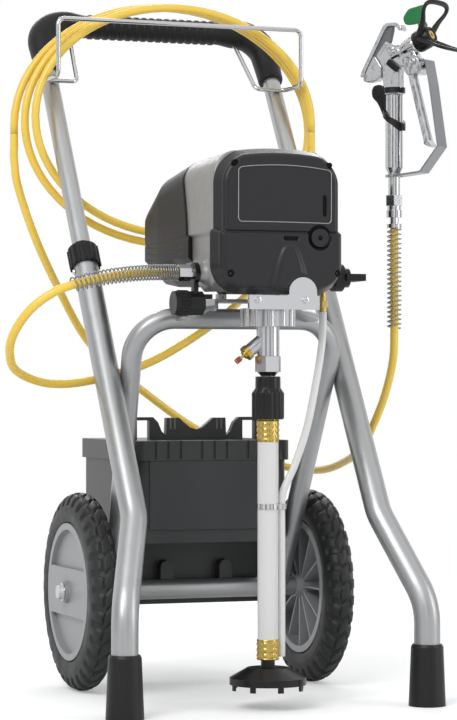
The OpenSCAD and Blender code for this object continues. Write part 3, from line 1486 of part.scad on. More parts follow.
module spray_tip() {
    placed() {
        color("#c9a64a") at_barrel() translate([-24, 0, tip_s]) rotate([0, 90, 0]) cylinder(h = 38, d = spigot);
        color("#2f7d45") at_barrel() difference() {
            fin(-3, 3) polygon([[50.5, 20], [50.5, 27], [38, 30], [31, 35], [32.5, 45], [45, 54], [57.5, 51.5],
                [70, 49.5], [66, 38], [63.5, 27], [63.5, 20]]);
            translate([-24.1, 0, tip_s]) rotate([0, 90, 0]) cylinder(h = 6, d = spigot - 2 * fit_gap);
        }
    }
}

leg_tube_left();
leg_tube_right();
u_frame();
axle_shaft();
axle_caps();
rubber_feet();
tube_bushes();
bush_rivets();
motor_bracket();
gear_housing();
front_cover();
housing_screws();
motor_shroud();
motor_stator();
pump_body();
inlet_nut();
drip_shield();
outlet_nipple();
knob_bracket();
brass_ferrules();
suction_tube();
tube_clamp();
return_fitting();
return_tube();
suction_strainer();
tool_box();
cable_gland();
pressure_knob();
prime_knob();
oiler_button();
inlet_pusher();
suction_nut();
box_lid();
wheel_rim_left();
tyre_left();
wheel_rim_right();
tyre_right();
lock_collar_left();
lock_collar_right();
handle_tube();
hand_grip();
hose_hook();
hose_coil();
hose_pump_lead();
hose_gun_lead();
pump_spring_guard();
gun_spring_guard();
hose_swivel();
gun_body();
gun_grip_tube();
gun_trigger();
trigger_lock();
finger_guard();
grip_rest();
tip_guard();
spray_tip();
gun_needle();
rotor();
crank_gear();
piston_rod();
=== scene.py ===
# %% [markdown]
# # An airless paint sprayer on a two-wheeled cart
#
# The sprayer is an electric piston pump that hangs on a bent tube frame. Its hose runs up to a coil on the
# handle and down again to the spray gun. The construction comes from the CAD model, which is loaded first
# and never moved. This lesson dresses it: the hoses, springs, mouldings and castings are made again as
# smooth surfaces, and every node gets a material worked out from what the real piece is made of.

# %% Load the CAD frame
import json
import math

import bpy
import numpy as np
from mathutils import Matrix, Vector


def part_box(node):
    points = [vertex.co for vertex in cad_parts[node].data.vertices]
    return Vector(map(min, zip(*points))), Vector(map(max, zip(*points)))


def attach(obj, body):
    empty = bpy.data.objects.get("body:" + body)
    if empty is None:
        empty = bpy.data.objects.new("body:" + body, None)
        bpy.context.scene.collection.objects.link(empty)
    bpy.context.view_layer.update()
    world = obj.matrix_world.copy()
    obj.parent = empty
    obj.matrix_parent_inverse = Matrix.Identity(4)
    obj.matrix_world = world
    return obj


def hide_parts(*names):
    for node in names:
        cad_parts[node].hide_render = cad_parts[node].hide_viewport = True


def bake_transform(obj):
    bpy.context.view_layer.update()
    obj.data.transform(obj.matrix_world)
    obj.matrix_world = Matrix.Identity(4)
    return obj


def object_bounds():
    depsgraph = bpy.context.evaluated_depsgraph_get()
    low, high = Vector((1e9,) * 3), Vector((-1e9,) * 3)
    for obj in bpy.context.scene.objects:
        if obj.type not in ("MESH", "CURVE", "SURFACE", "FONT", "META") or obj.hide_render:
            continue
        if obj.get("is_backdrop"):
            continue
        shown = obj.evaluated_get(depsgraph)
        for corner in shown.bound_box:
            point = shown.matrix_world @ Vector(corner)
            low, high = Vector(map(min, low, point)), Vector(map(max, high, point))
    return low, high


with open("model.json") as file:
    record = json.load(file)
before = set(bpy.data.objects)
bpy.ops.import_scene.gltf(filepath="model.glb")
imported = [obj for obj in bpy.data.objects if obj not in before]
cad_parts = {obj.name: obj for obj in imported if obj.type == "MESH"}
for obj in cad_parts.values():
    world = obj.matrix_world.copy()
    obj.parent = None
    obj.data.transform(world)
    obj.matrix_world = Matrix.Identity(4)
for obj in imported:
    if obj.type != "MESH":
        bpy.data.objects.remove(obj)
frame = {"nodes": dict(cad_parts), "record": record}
cad_low, cad_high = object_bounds()
scene = bpy.context.scene

# %% [markdown]
# ## Two rulers
#
# The CAD drawing puts X = 0 in the middle of the cart and Y = 0 at the front feet, in millimetres. The packed
# frame is centred on its footprint, in metres. One function turns drawing points into frame points, so every
# size below can be read beside the drawing.

# %% From drawing millimetres to frame metres
MM = 0.001
FOOTPRINT_MIDDLE = np.array([54.5, 287.64, 0.0])


def to_frame(points):
    """Points of the drawing, in millimetres, as points of the frame, in metres: (p - middle) / 1000."""
    return (np.asarray(points, float) - FOOTPRINT_MIDDLE) * MM


crossbar_low, crossbar_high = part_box("hand_grip")
print("hand grip spans", np.round((np.array(crossbar_high) - np.array(crossbar_low)) / MM, 1), "mm")

# %% [markdown]
# ## The camera
#
# The camera stands 3.7 m in front of the cart and a little to its left, at the height of the pump. A long
# lens keeps upright tubes upright, and a small upward shift of the lens brings the whole handle into the
# picture without tilting the camera, so vertical lines stay vertical.

# %% Camera
FRAME_H = 720   # height of the picture in pixels
VIEW_TURN = 20.02
CAMERA_AT = (-1320.5, -3414.4, 454.9)
FOCAL_IN_PIXELS = 2588.6
HORIZON_BELOW_MIDDLE = 30.5

lens = bpy.data.cameras.new("long_lens")
lens.sensor_width = 36.0
lens.lens = lens.sensor_width * FOCAL_IN_PIXELS / FRAME_H
lens.shift_y = HORIZON_BELOW_MIDDLE / FRAME_H
lens.clip_start, lens.clip_end = 0.1, 60.0
camera = bpy.data.objects.new("camera", lens)
scene.collection.objects.link(camera)
camera.location = to_frame(CAMERA_AT)
camera.rotation_euler = (math.radians(90), 0.0, math.radians(-VIEW_TURN))
scene.camera = camera
print("lens", round(lens.lens, 2), "mm, camera at", [round(v, 3) for v in camera.location])

# %% [markdown]
# ## Surfaces from two parameters
#
# Every new piece is a grid of points: one parameter runs along the piece and the other round it. The helper
# below joins neighbouring grid points with four-sided faces, closes the seam where the grid wraps, and can
# close an end with one more point in its middle. Numpy makes all points and faces as whole arrays.

# %% Grid to mesh
def cyclic(steps, turns=1.0):
    """Angles of a closed ring: steps equal parts of a turn, the last part joined to the first."""
    return np.arange(steps) * 2 * math.pi * turns / steps


def grid_faces(index, wrap):
    """Quads between neighbours of a grid of point numbers; wrap joins the last column to the first."""
    right = np.roll(index, -1, axis=1) if wrap else index[:, 1:]
    left = index if wrap else index[:, :-1]
    return np.stack([left[:-1], right[:-1], right[1:], left[1:]], axis=-1).reshape(-1, 4)


def fan_faces(ring, middle, outward):
    """Triangles from a ring of point numbers to one middle point, turned so that they face outwards."""
    following = np.roll(ring, -1)
    pair = (ring, following) if outward else (following, ring)
    return np.stack([pair[0], pair[1], np.full(len(ring), middle)], axis=-1)


def make_mesh(name, points, faces, smooth=True):
    """A mesh object whose place is in its points; faces is a list of index arrays of three or four columns."""
    mesh = bpy.data.meshes.new(name)
    loops = np.concatenate([f.ravel() for f in faces]).astype(np.int32)
    counts = np.concatenate([np.full(len(f), f.shape[1]) for f in faces]).astype(np.int32)
    starts = np.concatenate([[0], np.cumsum(counts)[:-1]]).astype(np.int32)
    mesh.vertices.add(len(points))
    mesh.vertices.foreach_set("co", np.asarray(points, np.float32).ravel())
    mesh.loops.add(len(loops))
    mesh.loops.foreach_set("vertex_index", loops)
    mesh.polygons.add(len(counts))
    mesh.polygons.foreach_set("loop_start", starts)
    mesh.polygons.foreach_set("use_smooth", np.full(len(counts), smooth))
    mesh.update(calc_edges=True)
    mesh.validate()
    piece = bpy.data.objects.new(name, mesh)
    scene.collection.objects.link(piece)
    return piece


def grid_piece(name, grid, wrap=True, ends=True):
    """The surface over a rows x columns grid of frame points, with its first and last ring closed if ends."""
    rows, columns = grid.shape[:2]
    points, faces = grid.reshape(-1, 3), [grid_faces(np.arange(rows * columns).reshape(rows, columns), wrap)]
    if ends:
        middles = np.array([grid[0].mean(axis=0), grid[-1].mean(axis=0)])
        points = np.concatenate([points, middles])
        first = np.arange(columns)
        faces += [fan_faces(first, rows * columns, False),
                  fan_faces(first + (rows - 1) * columns, rows * columns + 1, True)]
    return make_mesh(name, points, faces)


def set_uv(piece, along, around):
    """Writes a UV map from two values per point: metres along the piece and metres round it."""
    layer = piece.data.uv_layers.new(name="run")
    corner = np.zeros(len(piece.data.loops), np.int32)
    piece.data.loops.foreach_get("vertex_index", corner)
    both = np.stack([along, around], axis=-1)
    layer.data.foreach_set("uv", both[corner].astype(np.float32).ravel())


print("helpers ready")

# %% [markdown]
# ## Tubes that follow a line
#
# A hose, a wire and a handle are all a circle carried along a path. The circle needs two directions square to
# the path at each point. Taking the last pair and removing what leans along the path turns them as little as
# possible, so the tube never twists.

# %% Carried circles
def unit(v):
    """Each vector divided by its own length."""
    v = np.asarray(v, float)
    return v / np.linalg.norm(v, axis=-1, keepdims=True)


def headings(path):
    """Direction at each point of a path: from the point before to the point after."""
    ahead = np.vstack([path[1:], path[-1:]])
    behind = np.vstack([path[:1], path[:-1]])
    return unit(ahead - behind)


def carried_frames(path, first):
    """Two directions square to the path at every point, turning as little as possible from one to the next."""
    forward = headings(path)
    side = np.zeros_like(forward)
    last = np.asarray(first, float)
    for i, f in enumerate(forward):
        last = unit(last - (last @ f) * f)
        side[i] = last
    return side, np.cross(forward, side)


def carried_ovals(path, side, up, wide, tall, sides):
    """p(s, a) = path(s) + wide(s) cos a * side(s) + tall(s) sin a * up(s): an oval carried along a path."""
    angle = cyclic(sides)[None, :, None]
    wide, tall = (np.broadcast_to(reach, len(path))[:, None, None] for reach in (wide, tall))
    return path[:, None] + wide * np.cos(angle) * side[:, None] + tall * np.sin(angle) * up[:, None]


def tube_grid(path, radius, sides, first):
    """A circle carried along a path: both reaches of the oval are the radius."""
    return carried_ovals(path, *carried_frames(path, first), radius, radius, sides)


def run_length(path):
    """Distance along a path from its start to each of its points."""
    return np.concatenate([[0.0], np.cumsum(np.linalg.norm(np.diff(path, axis=0), axis=1))])


def tube_piece(name, path, radius, sides, first):
    """A closed tube along a path of frame points, with a UV map in metres along and round it."""
    piece = grid_piece(name, tube_grid(path, radius, sides, first))
    along = np.repeat(run_length(path), sides)
    around = np.tile(cyclic(sides) * float(np.mean(radius)), len(path))
    set_uv(piece, np.append(along, [along[0], along[-1]]), np.append(around, [0.0, 0.0]))
    return piece


def cubic_stretches(a, b, c, d, steps):
    """Catmull-Rom: from each b to its c runs a cubic in t whose end slopes are (c - a) / 2 and (d - b) / 2."""
    t = (np.arange(steps) / steps)[None, :, None]
    a, b, c, d = (q[:, None] for q in (a, b, c, d))
    curve = 0.5 * (2 * b + (c - a) * t + (2 * a - 5 * b + 4 * c - d) * t**2 + (3 * b - a - 3 * c + d) * t**3)
    return curve.reshape(-1, b.shape[-1])


def smooth_route(points, steps):
    """An open smooth curve through the points; past each end the first and last stretch go on straight."""
    p = np.asarray(points, float)
    before, after = np.vstack([2 * p[0] - p[1], p[:-2]]), np.vstack([p[2:], 2 * p[-1] - p[-2]])
    return np.vstack([cubic_stretches(before, p[:-1], p[1:], after, steps), p[-1:]])


def closed_curve(points, steps):
    """A closed smooth curve through the corners of an outline: each stretch takes its neighbours round the ring."""
    p = np.asarray(points, float)
    return cubic_stretches(*(np.roll(p, k, axis=0) for k in (1, 0, -1, -2)), steps)


print("tube helpers ready")

# %% [markdown]
# ## The hose
#
# An airless hose is a braided core in a tough yellow jacket, 12.5 mm thick. It leaves the pump through a
# spring guard, sags to the left, rises behind the motor to the coil on the handle, and comes down again to
# the gun. The coil is worked out from a formula: two and a half ovals that grow a little and step back by
# more than a hose thickness each turn, so the turns lie beside each other.

# %% Values of the hose
HOSE_D = 12.5
HOSE_SIDES = 20
TAIL = 1.2 * HOSE_D   # straight end of the coil, where the leads start
GAP = 0.3   # clearance between pieces that touch on the real product
NIPPLE_X, OUTLET_Y, OUTLET_Z = -131.0, 60.0, 622.0
GUN_X, GUN_Y, GUN_Z = 278.0, 230.0, 712.0
SWIVEL_DROP = 8.0   # from the gun's origin down to the underside of its swivel
GUARD_L, GUARD_STRAIGHT, GUARD_DROP = 158.0, 20.0, 20.0
GUARD_D, GUARD_WIRE = 23.0, 2.4
COIL_STEPS, ROUTE_STEPS = 72, 8   # points on a turn of the coil, and between two points of a lead
COIL = {"a": 245.0, "b": 193.0, "grow": 8.0, "pitch": 14.5, "turns": 2.5, "right": 226.5,
        "right_step": 3.0, "top": 1057.0, "top_step": 2.0, "front": 444.0}


def coil_at(t):
    """Upright ovals: x = right - a + a cos 360t, z = top - b + b sin 360t, and one pitch back on each turn."""
    t = np.asarray(t, float)
    more = COIL["grow"] * (COIL["turns"] - t)
    a, b = COIL["a"] - more, COIL["b"] - more
    x, z = COIL["right"] + COIL["right_step"] * t, COIL["top"] + COIL["top_step"] * t
    turn = 2 * math.pi * t
    return np.stack([x - a + a * np.cos(turn), COIL["front"] + COIL["pitch"] * t, z - b + b * np.sin(turn)], -1)


def pump_guard_at(s):
    """Centre line of the pump's guard: straight out of the nipple, then a parabola that sags by the drop."""
    s = np.asarray(s, float)
    sag = (np.maximum(0, s - GUARD_STRAIGHT) / (GUARD_L - GUARD_STRAIGHT)) ** 2
    return np.stack([NIPPLE_X - s, np.full_like(s, OUTLET_Y), OUTLET_Z - GUARD_DROP * sag], -1)


def gun_guard_at(s):
    """Centre line of the guard under the gun: straight down."""
    s = np.asarray(s, float)
    return np.stack([np.full_like(s, GUN_X), np.full_like(s, GUN_Y), GUN_Z - SWIVEL_DROP - s], -1)


down = np.array([0.0, 0.0, 1.0])
coil_turns = coil_at(np.arange(COIL["turns"] * COIL_STEPS + 1) / COIL_STEPS)
coil_route = np.vstack([coil_turns[:1] - TAIL * down, coil_turns, coil_turns[-1:] - TAIL * down])
coil_start, coil_end = coil_route[0] - GAP * down, coil_route[-1] - GAP * down
hose_end_z = GUN_Z - SWIVEL_DROP - GAP
pump_route = np.vstack([
    pump_guard_at([GAP, 18, 36, 75, 117, GUARD_L]),
    [[-318, 65, 589], [-344, 76, 567], [-360, 96, 538], [-360, 124, 510], [-338, 164, 482], [-275, 214, 465],
     [-197, 246, 471], [-109, 254, 497], [-20, 275, 543], [56, 335, 586], [112, 388, 625], [176, 420, 690],
     [214, 438, 770], [226, 444, 830]],
    [coil_start - 20 * down, coil_start]])
gun_route = np.vstack([
    [coil_end, coil_end - 20 * down, coil_end - 40 * down],
    [[-250, 478, 770], [-220, 482, 689], [-173, 510, 610], [-122, 550, 543], [-69, 580, 496], [-11, 595, 456],
     [68, 600, 402], [145, 600, 362], [210, 592, 336], [254, 562, 325], [275, 505, 326], [280, 430, 341],
     [273, 345, 364], [262, 278, 398], [266, 240, 446], [276, 231, 500], [GUN_X, GUN_Y, 545],
     [GUN_X, GUN_Y, 600], [GUN_X, GUN_Y, 655], [GUN_X, GUN_Y, hose_end_z - 14], [GUN_X, GUN_Y, hose_end_z]]])
routes = {
    "coil": to_frame(coil_route),
    "pump": to_frame(smooth_route(pump_route, ROUTE_STEPS)),
    "gun": to_frame(smooth_route(gun_route, ROUTE_STEPS)),
}
print("hose lengths in m:", {k: round(float(run_length(v)[-1]), 3) for k, v in routes.items()})

# %% [markdown]
# The handle slides down for storage and takes the coil with it, so both leads bend between the cart and the
# handle. Each of the three stretches is a tube with 20 sides, which is round at this size.

# %% Make the hose
hose_coil = tube_piece("yellow_hose_coil", routes["coil"], HOSE_D / 2 * MM, HOSE_SIDES, (0, 1, 0))
hose_pump = tube_piece("yellow_hose_pump_lead", routes["pump"], HOSE_D / 2 * MM, HOSE_SIDES, (0, 1, 0))
hose_gun = tube_piece("yellow_hose_gun_lead", routes["gun"], HOSE_D / 2 * MM, HOSE_SIDES, (1, 0, 0))
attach(hose_coil, "handle")
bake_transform(hose_pump)
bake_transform(hose_gun)
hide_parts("hose_coil")
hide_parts("hose_pump_lead")
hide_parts("hose_gun_lead")
print("hose faces:", [len(piece.data.polygons) for piece in (hose_coil, hose_pump, hose_gun)])

# %% [markdown]
# ## Spring guards
#
# A spring of 2.4 mm bright wire stands round each end of the hose, so that it can't kink at its fitting. The
# wire is a helix about the hose's own centre line. The turns of the long guard open out towards its free end.

# %% Wind the guards
def wind(centre_at, near, curls, per_turn, travel):
    """A helix: centre(s) + r (cos a * u + sin a * w), where s = travel(share) and a makes one turn a curl."""
    share = np.linspace(0, 1, curls * per_turn + 1)
    s = travel(share)
    centre = centre_at(s)
    heading = unit(centre_at(s + 1.0) - centre_at(s - 1.0))
    u = unit(np.asarray(near, float) - (heading @ np.asarray(near, float))[:, None] * heading)
    w = np.cross(heading, u)
    angle = (2 * math.pi * curls * share)[:, None]
    return centre + (GUARD_D - GUARD_WIRE) / 2 * (np.cos(angle) * u + np.sin(angle) * w)


PUMP_CURLS, GUN_CURLS, CURL_STEPS, WIRE_SIDES = 31, 21, 24, 8
seat = GUARD_WIRE / 2 + GAP
pump_wire = wind(pump_guard_at, (0, 1, 0), PUMP_CURLS, CURL_STEPS,
                 lambda share: seat + (GUARD_L - 4) * (0.6 * share + 0.4 * share**2))
gun_wire = wind(gun_guard_at, (1, 0, 0), GUN_CURLS, CURL_STEPS, lambda share: seat + (GUARD_L - 6) * share)
pump_spring = tube_piece("pump_guard_spring", to_frame(pump_wire), GUARD_WIRE / 2 * MM, WIRE_SIDES, (1, 0, 0))
gun_spring = tube_piece("gun_guard_spring", to_frame(gun_wire), GUARD_WIRE / 2 * MM, WIRE_SIDES, (0, 0, 1))
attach(pump_spring, "cart")
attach(gun_spring, "cart")
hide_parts("pump_spring_guard")
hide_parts("gun_spring_guard")
print("spring wire in m:", [round(float(run_length(wire)[-1]) * MM, 2) for wire in (pump_wire, gun_wire)])

# %% [markdown]

# %% [markdown]
# ## Finishes
#
# Each material is one physical surface with a colour, a metallic value, a roughness and a little relief. The
# colours are written as hex numbers as a paint chart gives them and turned into light by one function. A second
# function adds a shader node and fills its inputs, so a material reads as a short list.

# %% Colour and node helpers
def light(hex_colour):
    """sRGB to linear light: below 0.04045 divided by 12.92, above it ((c + 0.055) / 1.055) to the 2.4."""
    c = np.array([int(hex_colour[i:i + 2], 16) for i in (1, 3, 5)]) / 255
    linear = np.where(c <= 0.04045, c / 12.92, ((c + 0.055) / 1.055) ** 2.4)
    return (*linear.tolist(), 1.0)


def add(material, kind, inputs=None, **settings):
    """Adds a shader node: a socket given as input is linked, any other value is stored on the input."""
    tree = material.node_tree
    node = tree.nodes.new(kind)
    for key, value in settings.items():
        setattr(node, key, value)
    for key, value in (inputs or {}).items():
        if isinstance(value, bpy.types.NodeSocket):
            tree.links.new(value, node.inputs[key])
        else:
            node.inputs[key].default_value = value
    return node


def surface(name, colour, metallic, roughness, **inputs):
    """A material with one Principled shader; further inputs have the socket's name with _ for a space."""
    material = bpy.data.materials.new(name)
    material.use_nodes = True
    shader = material.node_tree.nodes["Principled BSDF"]
    values = {"Base Color": light(colour), "Metallic": metallic, "Roughness": roughness}
    values.update({key.replace("_", " "): value for key, value in inputs.items()})
    for key, value in values.items():
        shader.inputs[key].default_value = value
    material.diffuse_color = light(colour)
    return material, shader


def relief(material, shader, size, height, edge=0.0, detail=2.0, spread=None):
    """Grain of a size and height in metres, over edges that look rounded by edge; spread varies roughness too."""
    place = add(material, "ShaderNodeTexCoord")
    grain = add(material, "ShaderNodeTexNoise",
                {"Vector": place.outputs["Object"], "Scale": 1 / size, "Detail": detail, "Roughness": 0.55})
    bump_inputs = {"Height": grain.outputs["Fac"], "Strength": 1.0, "Distance": height}
    if edge:
        soft = add(material, "ShaderNodeBevel", {"Radius": edge}, samples=4)
        bump_inputs["Normal"] = soft.outputs["Normal"]
    bump = add(material, "ShaderNodeBump", bump_inputs)
    links = material.node_tree.links
    links.new(bump.outputs["Normal"], shader.inputs["Normal"])
    if spread:
        cloud = add(material, "ShaderNodeTexNoise",
                    {"Vector": place.outputs["Object"], "Scale": 1 / spread[0], "Detail": 4.0})
        span = add(material, "ShaderNodeMapRange", {"Value": cloud.outputs["Fac"], "From Min": 0.3,
                   "From Max": 0.7, "To Min": spread[1], "To Max": spread[2]})
        links.new(span.outputs["Result"], shader.inputs["Roughness"])
    return material


# %% [markdown]
# ## Metals
#
# The cart is bent from steel tube under a satin silver lacquer: bright along the side that faces a window, dark
# along its rim, with a faint mottle from the lacquer. The fittings are zinc or nickel plated and reflect
# sharply. Brass, cast alloy and polished alloy differ in colour and in how much they blur what they reflect.

# %% Steel, brass and alloy
finishes = {}


def finish(slot_name, name, colour, metallic, roughness, grain, height, edge=0.0, detail=2.0, spread=None, **inputs):
    """Adds a finish to the list under the record's slot name: a surface, and its relief of grain and height."""
    finishes[slot_name] = relief(*surface(name, colour, metallic, roughness, **inputs), grain, height,
                                 edge, detail, spread)


# Silver lacquer on steel tube: nearly a metal, blurred enough to hide the room's outlines.
finish("frame_steel", "silver_lacquered_steel", "#aeafb0", 0.85, 0.36, 0.0012, 0.00001, edge=0.0006,
       spread=(0.02, 0.32, 0.42))
# The handle tube slides in its bushes, which keeps it a little brighter than the legs.
finish("handle_steel", "silver_lacquered_handle_steel", "#b4b5b6", 0.85, 0.32, 0.0012, 0.00001, edge=0.0006,
       spread=(0.02, 0.28, 0.38))
# Zinc-plated axle, screws and rods: bluish grey, half polished.
finish("axle_steel", "zinc_plated_steel", "#9b9da1", 1.0, 0.3, 0.0006, 0.000005, edge=0.0003)
# Nickel-plated fittings: near-white metal with a sharp reflection.
finish("bright_steel", "nickel_plated_steel", "#c8c9cc", 1.0, 0.18, 0.008, 0.00003, edge=0.0005, detail=1.0)
# Turned pump steel: fine tool marks blur the reflection a little.
finish("pump_steel", "turned_stainless_steel", "#c2c3c6", 1.0, 0.24, 0.0005, 0.000006, edge=0.0005)
# Gear steel under a film of oil.
finish("gear_steel", "oiled_gear_steel", "#8f9094", 1.0, 0.22, 0.0006, 0.000006, edge=0.0002, Coat_Weight=0.4)
# Turned brass: warm yellow, sharp reflection.
finish("brass", "turned_brass", "#c6ab60", 1.0, 0.24, 0.0006, 0.000006, edge=0.0003)
# Die-cast housing under grey metallic paint: a soft sheen, with the slight orange peel of sprayed enamel.
finish("cast_metal", "painted_die_casting", "#929190", 0.45, 0.36, 0.0018, 0.00003, edge=0.0012,
       spread=(0.015, 0.32, 0.44))
# Aluminium forging of the gun, polished by hand: slow waves in the surface bend the reflections.
finish("gun_alloy", "polished_aluminium", "#c6c7c9", 1.0, 0.13, 0.011, 0.0003, edge=0.0009, detail=1.0)
# Varnished copper windings of motor and rotor.
finish("winding", "varnished_copper_winding", "#7d4a24", 0.6, 0.35, 0.0008, 0.00006, edge=0.0003, Coat_Weight=0.5)
print("metals:", len(finishes))

# %% [markdown]
# ## Plastics, rubber and the hose jacket
#
# Moulded plastic reflects about four hundredths of the light head on, whatever its colour. What tells glossy
# covers from handles is the texture of the mould, which breaks up the reflection and takes some of it away.

# %% Plastics and rubber
# Black nylon fittings: spark-eroded mould, fine grain.
finish("black_plastic", "black_nylon", "#141416", 0.0, 0.3, 0.0007, 0.00003, edge=0.0006, IOR=1.53,
       Specular_IOR_Level=0.3)
# The front cover: charcoal ABS with a low sheen.
finish("cover_plastic", "charcoal_cover_plastic", "#242426", 0.0, 0.32, 0.0007, 0.00003, edge=0.001, IOR=1.54,
       Specular_IOR_Level=0.3)
# The tool box: thick polypropylene, duller and with a coarser grain.
finish("box_plastic", "dark_polypropylene", "#313233", 0.0, 0.36, 0.0011, 0.00006, edge=0.0012, IOR=1.49,
       Specular_IOR_Level=0.4)
# Grip rubber and feet: soft black rubber, dull.
finish("grip_rubber", "soft_grip_rubber", "#161618", 0.0, 0.45, 0.0008, 0.00006, edge=0.0008, IOR=1.5,
       Specular_IOR_Level=0.3)
finish("foot_rubber", "black_foot_rubber", "#161618", 0.0, 0.4, 0.001, 0.00006, edge=0.001, IOR=1.5,
       Specular_IOR_Level=0.35)
# Tyre rubber is greyer and duller where it is dusted by the floor.
finish("tyre_rubber", "tyre_rubber", "#1c1d1e", 0.0, 0.5, 0.0014, 0.0001, edge=0.0006, spread=(0.03, 0.42, 0.6),
       IOR=1.5, Specular_IOR_Level=0.5)
# Grey nylon wheel.
finish("rim_paint", "grey_wheel_plastic", "#9b9c9e", 0.15, 0.38, 0.0009, 0.00004, edge=0.0008, IOR=1.5)
# Milky polyethylene pipe: light goes in and comes out a little way off.
finish("clear_tube", "milky_polyethylene", "#ececea", 0.0, 0.25, 0.004, 0.00002, edge=0.0004, IOR=1.51,
       Transmission_Weight=0.2)
# The hose's polyurethane jacket: warm yellow, smooth, with a slight sheen.
finish("hose_skin", "yellow_polyurethane_jacket", "#f6d056", 0.0, 0.26, 0.006, 0.00004, IOR=1.5)
# The spray tip's handle: glass-filled green plastic.
finish("tip_green", "green_tip_plastic", "#14783f", 0.0, 0.36, 0.0009, 0.00004, edge=0.0005, IOR=1.52)
print("finishes:", len(finishes))

# %% [markdown]
# ## Dress the frame
#
# The record says which finish each CAD node takes. A loop gives every node its material, and the new pieces
# take theirs from the same list.

# %% Give each node its finish
slot_of = {part["node"]: part["material_slot"] for part in frame["record"]["subparts"]}


def dress(piece, slot_name, material=None):
    """Gives a piece its slot's finish, or a material of its own."""
    piece.data.materials.clear()
    piece.data.materials.append(material or finishes[slot_name])
    return piece


def fit(piece, body, slot_name, *nodes, material=None):
    """Dresses a finished piece, lets it ride on a body and lets it stand for CAD nodes, where there are any."""
    dress(piece, slot_name, material)
    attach(piece, body)
    if nodes:
        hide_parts(*nodes)
    return piece


for node_name, node in frame["nodes"].items():
    node.data.materials.clear()
    node.data.materials.append(finishes[slot_of[node_name]])

for piece in (hose_coil, hose_pump, hose_gun):
    dress(piece, "hose_skin")
# Spring wire: bright drawn steel, greyer than nickel, so that the gaps between the turns read dark.
spring_wire = relief(*surface("drawn_spring_wire", "#8d8f92", 1.0, 0.25), 0.002, 0.00001)
for piece in (pump_spring, gun_spring):
    dress(piece, "bright_steel", spring_wire)
print("dressed nodes:", len(frame["nodes"]))

# %% [markdown]
# ## The front cover
#
# The cover is one moulding: a nearly flat face with a rounded rim, an arched top, a ledge across the middle and a
# drafted wall that runs back to the gear housing. The face is a height field over a grid that is squeezed into
# the outline. Its relief is a sum of soft steps: a sunk label panel with a raised line round it, two slots, the
# ledge, a bell-shaped swelling over the pump, and a dimple for each screw. All of it stays plain, with nothing
# printed on the panel.

# %% Rulers for soft steps
def step(a, b, t):
    """0 before a, 1 after b, and between them the smooth cubic 3q^2 - 2q^3."""
    q = np.clip((np.asarray(t, float) - a) / (b - a), 0, 1)
    return q * q * (3 - 2 * q)


def box_distance(x, z, middle, half, r):
    """Distance outside (positive) or inside (negative) a rectangle with corners of radius r."""
    qx, qz = np.abs(x - middle[0]) - half[0] + r, np.abs(z - middle[1]) - half[1] + r
    return np.hypot(np.maximum(qx, 0), np.maximum(qz, 0)) + np.minimum(np.maximum(qx, qz), 0) - r


def eased(n):
    """n numbers from -1 to 1, closer together at both ends."""
    t = np.linspace(-1, 1, n)
    return 0.45 * t + 0.55 * np.sin(t * math.pi / 2)


# %% Values of the cover
COVER_Y, COVER_BACK = -12.0, 13.7   # the face in front and the edge that meets the gear housing
COVER_LOW, COVER_HIGH, COVER_R, RIM_R = 598.0, 782.0, 36.0, 8.0
UPPER_HALF, LOWER_HALF, LEDGE_Z, DRAFT = 87.5, 92.5, 678.7, 7.0
ARCH, ARCH_FROM = 9.0, 670.0   # height of the arch, and where its rise starts
PANEL = {"middle": (4.5, 728.0), "half": (70.3, 36.5), "r": 6.0}
UPRIGHT_SLOT = {"middle": (65.4, 715.0), "half": (3.0, 14.5), "r": 2.9}
LEVEL_SLOT = {"middle": (13.2, 669.6), "half": (11.5, 3.2), "r": 3.1}
SLOT_DEPTH, SCREW_DEPTH = 3.4, 3.6
SCREWS = ((-71, 772), (73, 772), (-77, 619), (85, 621))
OILER = (57.0, 671.0)
BELL_X, BELL_HALF, BELL_TOP, BELL_LENGTH, BELL_OUT = 11.0, 33.0, 663.0, 65.0, 3.4
SHIELD_MIDDLE, SHIELD_R = (31.0, 594.0), 28.0   # the drip shield's tongue stands before the bell's foot


def arch(x, z):
    """Lift of a point of the cover: highest over the middle, nothing at the sides and below the ledge."""
    return ARCH * (1 - (x / UPPER_HALF) ** 2) * step(ARCH_FROM, COVER_HIGH, z)


def cover_depth(x, z):
    """How far the face lies behind COVER_Y at a point of the unarched outline: the sum of its soft steps."""
    panel, upright, level = (box_distance(x, z, **form) for form in (PANEL, UPRIGHT_SLOT, LEVEL_SLOT))
    fall = np.clip((BELL_TOP - z) / BELL_LENGTH, 0, 1)
    bell = step(1.0, 0.55, np.abs(x - BELL_X) / (1 + BELL_HALF * np.sqrt(fall))) * step(0, 0.12, fall)
    bell *= step(SHIELD_R - 6.5, SHIELD_R, np.hypot(x - SHIELD_MIDDLE[0], z - SHIELD_MIDDLE[1]))
    oiler = np.hypot(x - OILER[0], z - OILER[1])
    depth = 1.6 * step(0.2, -1.4, panel)
    depth += 2.6 * step(LEDGE_Z + 1.6, LEDGE_Z + 0.4, z) * step(LEDGE_Z - 3.4, LEDGE_Z - 2.2, z)
    depth -= 1.2 * step(LEDGE_Z - 2.2, LEDGE_Z - 3.4, z)
    depth += SLOT_DEPTH * (step(0.5, -0.7, upright) + step(0.5, -0.7, level))
    depth -= BELL_OUT * bell
    depth += 3.2 * step(18.2, 17.0, oiler) + 8 * step(15.4, 14.5, oiler)
    for place in SCREWS:
        depth += SCREW_DEPTH * step(5.6, 4.4, np.hypot(x - place[0], z - place[1]))
    return depth


# %% [markdown]
# The rim is a quarter circle in the distance from the outline. The wall starts from the very points of the
# face's border, so the shading runs over the rim without a seam.

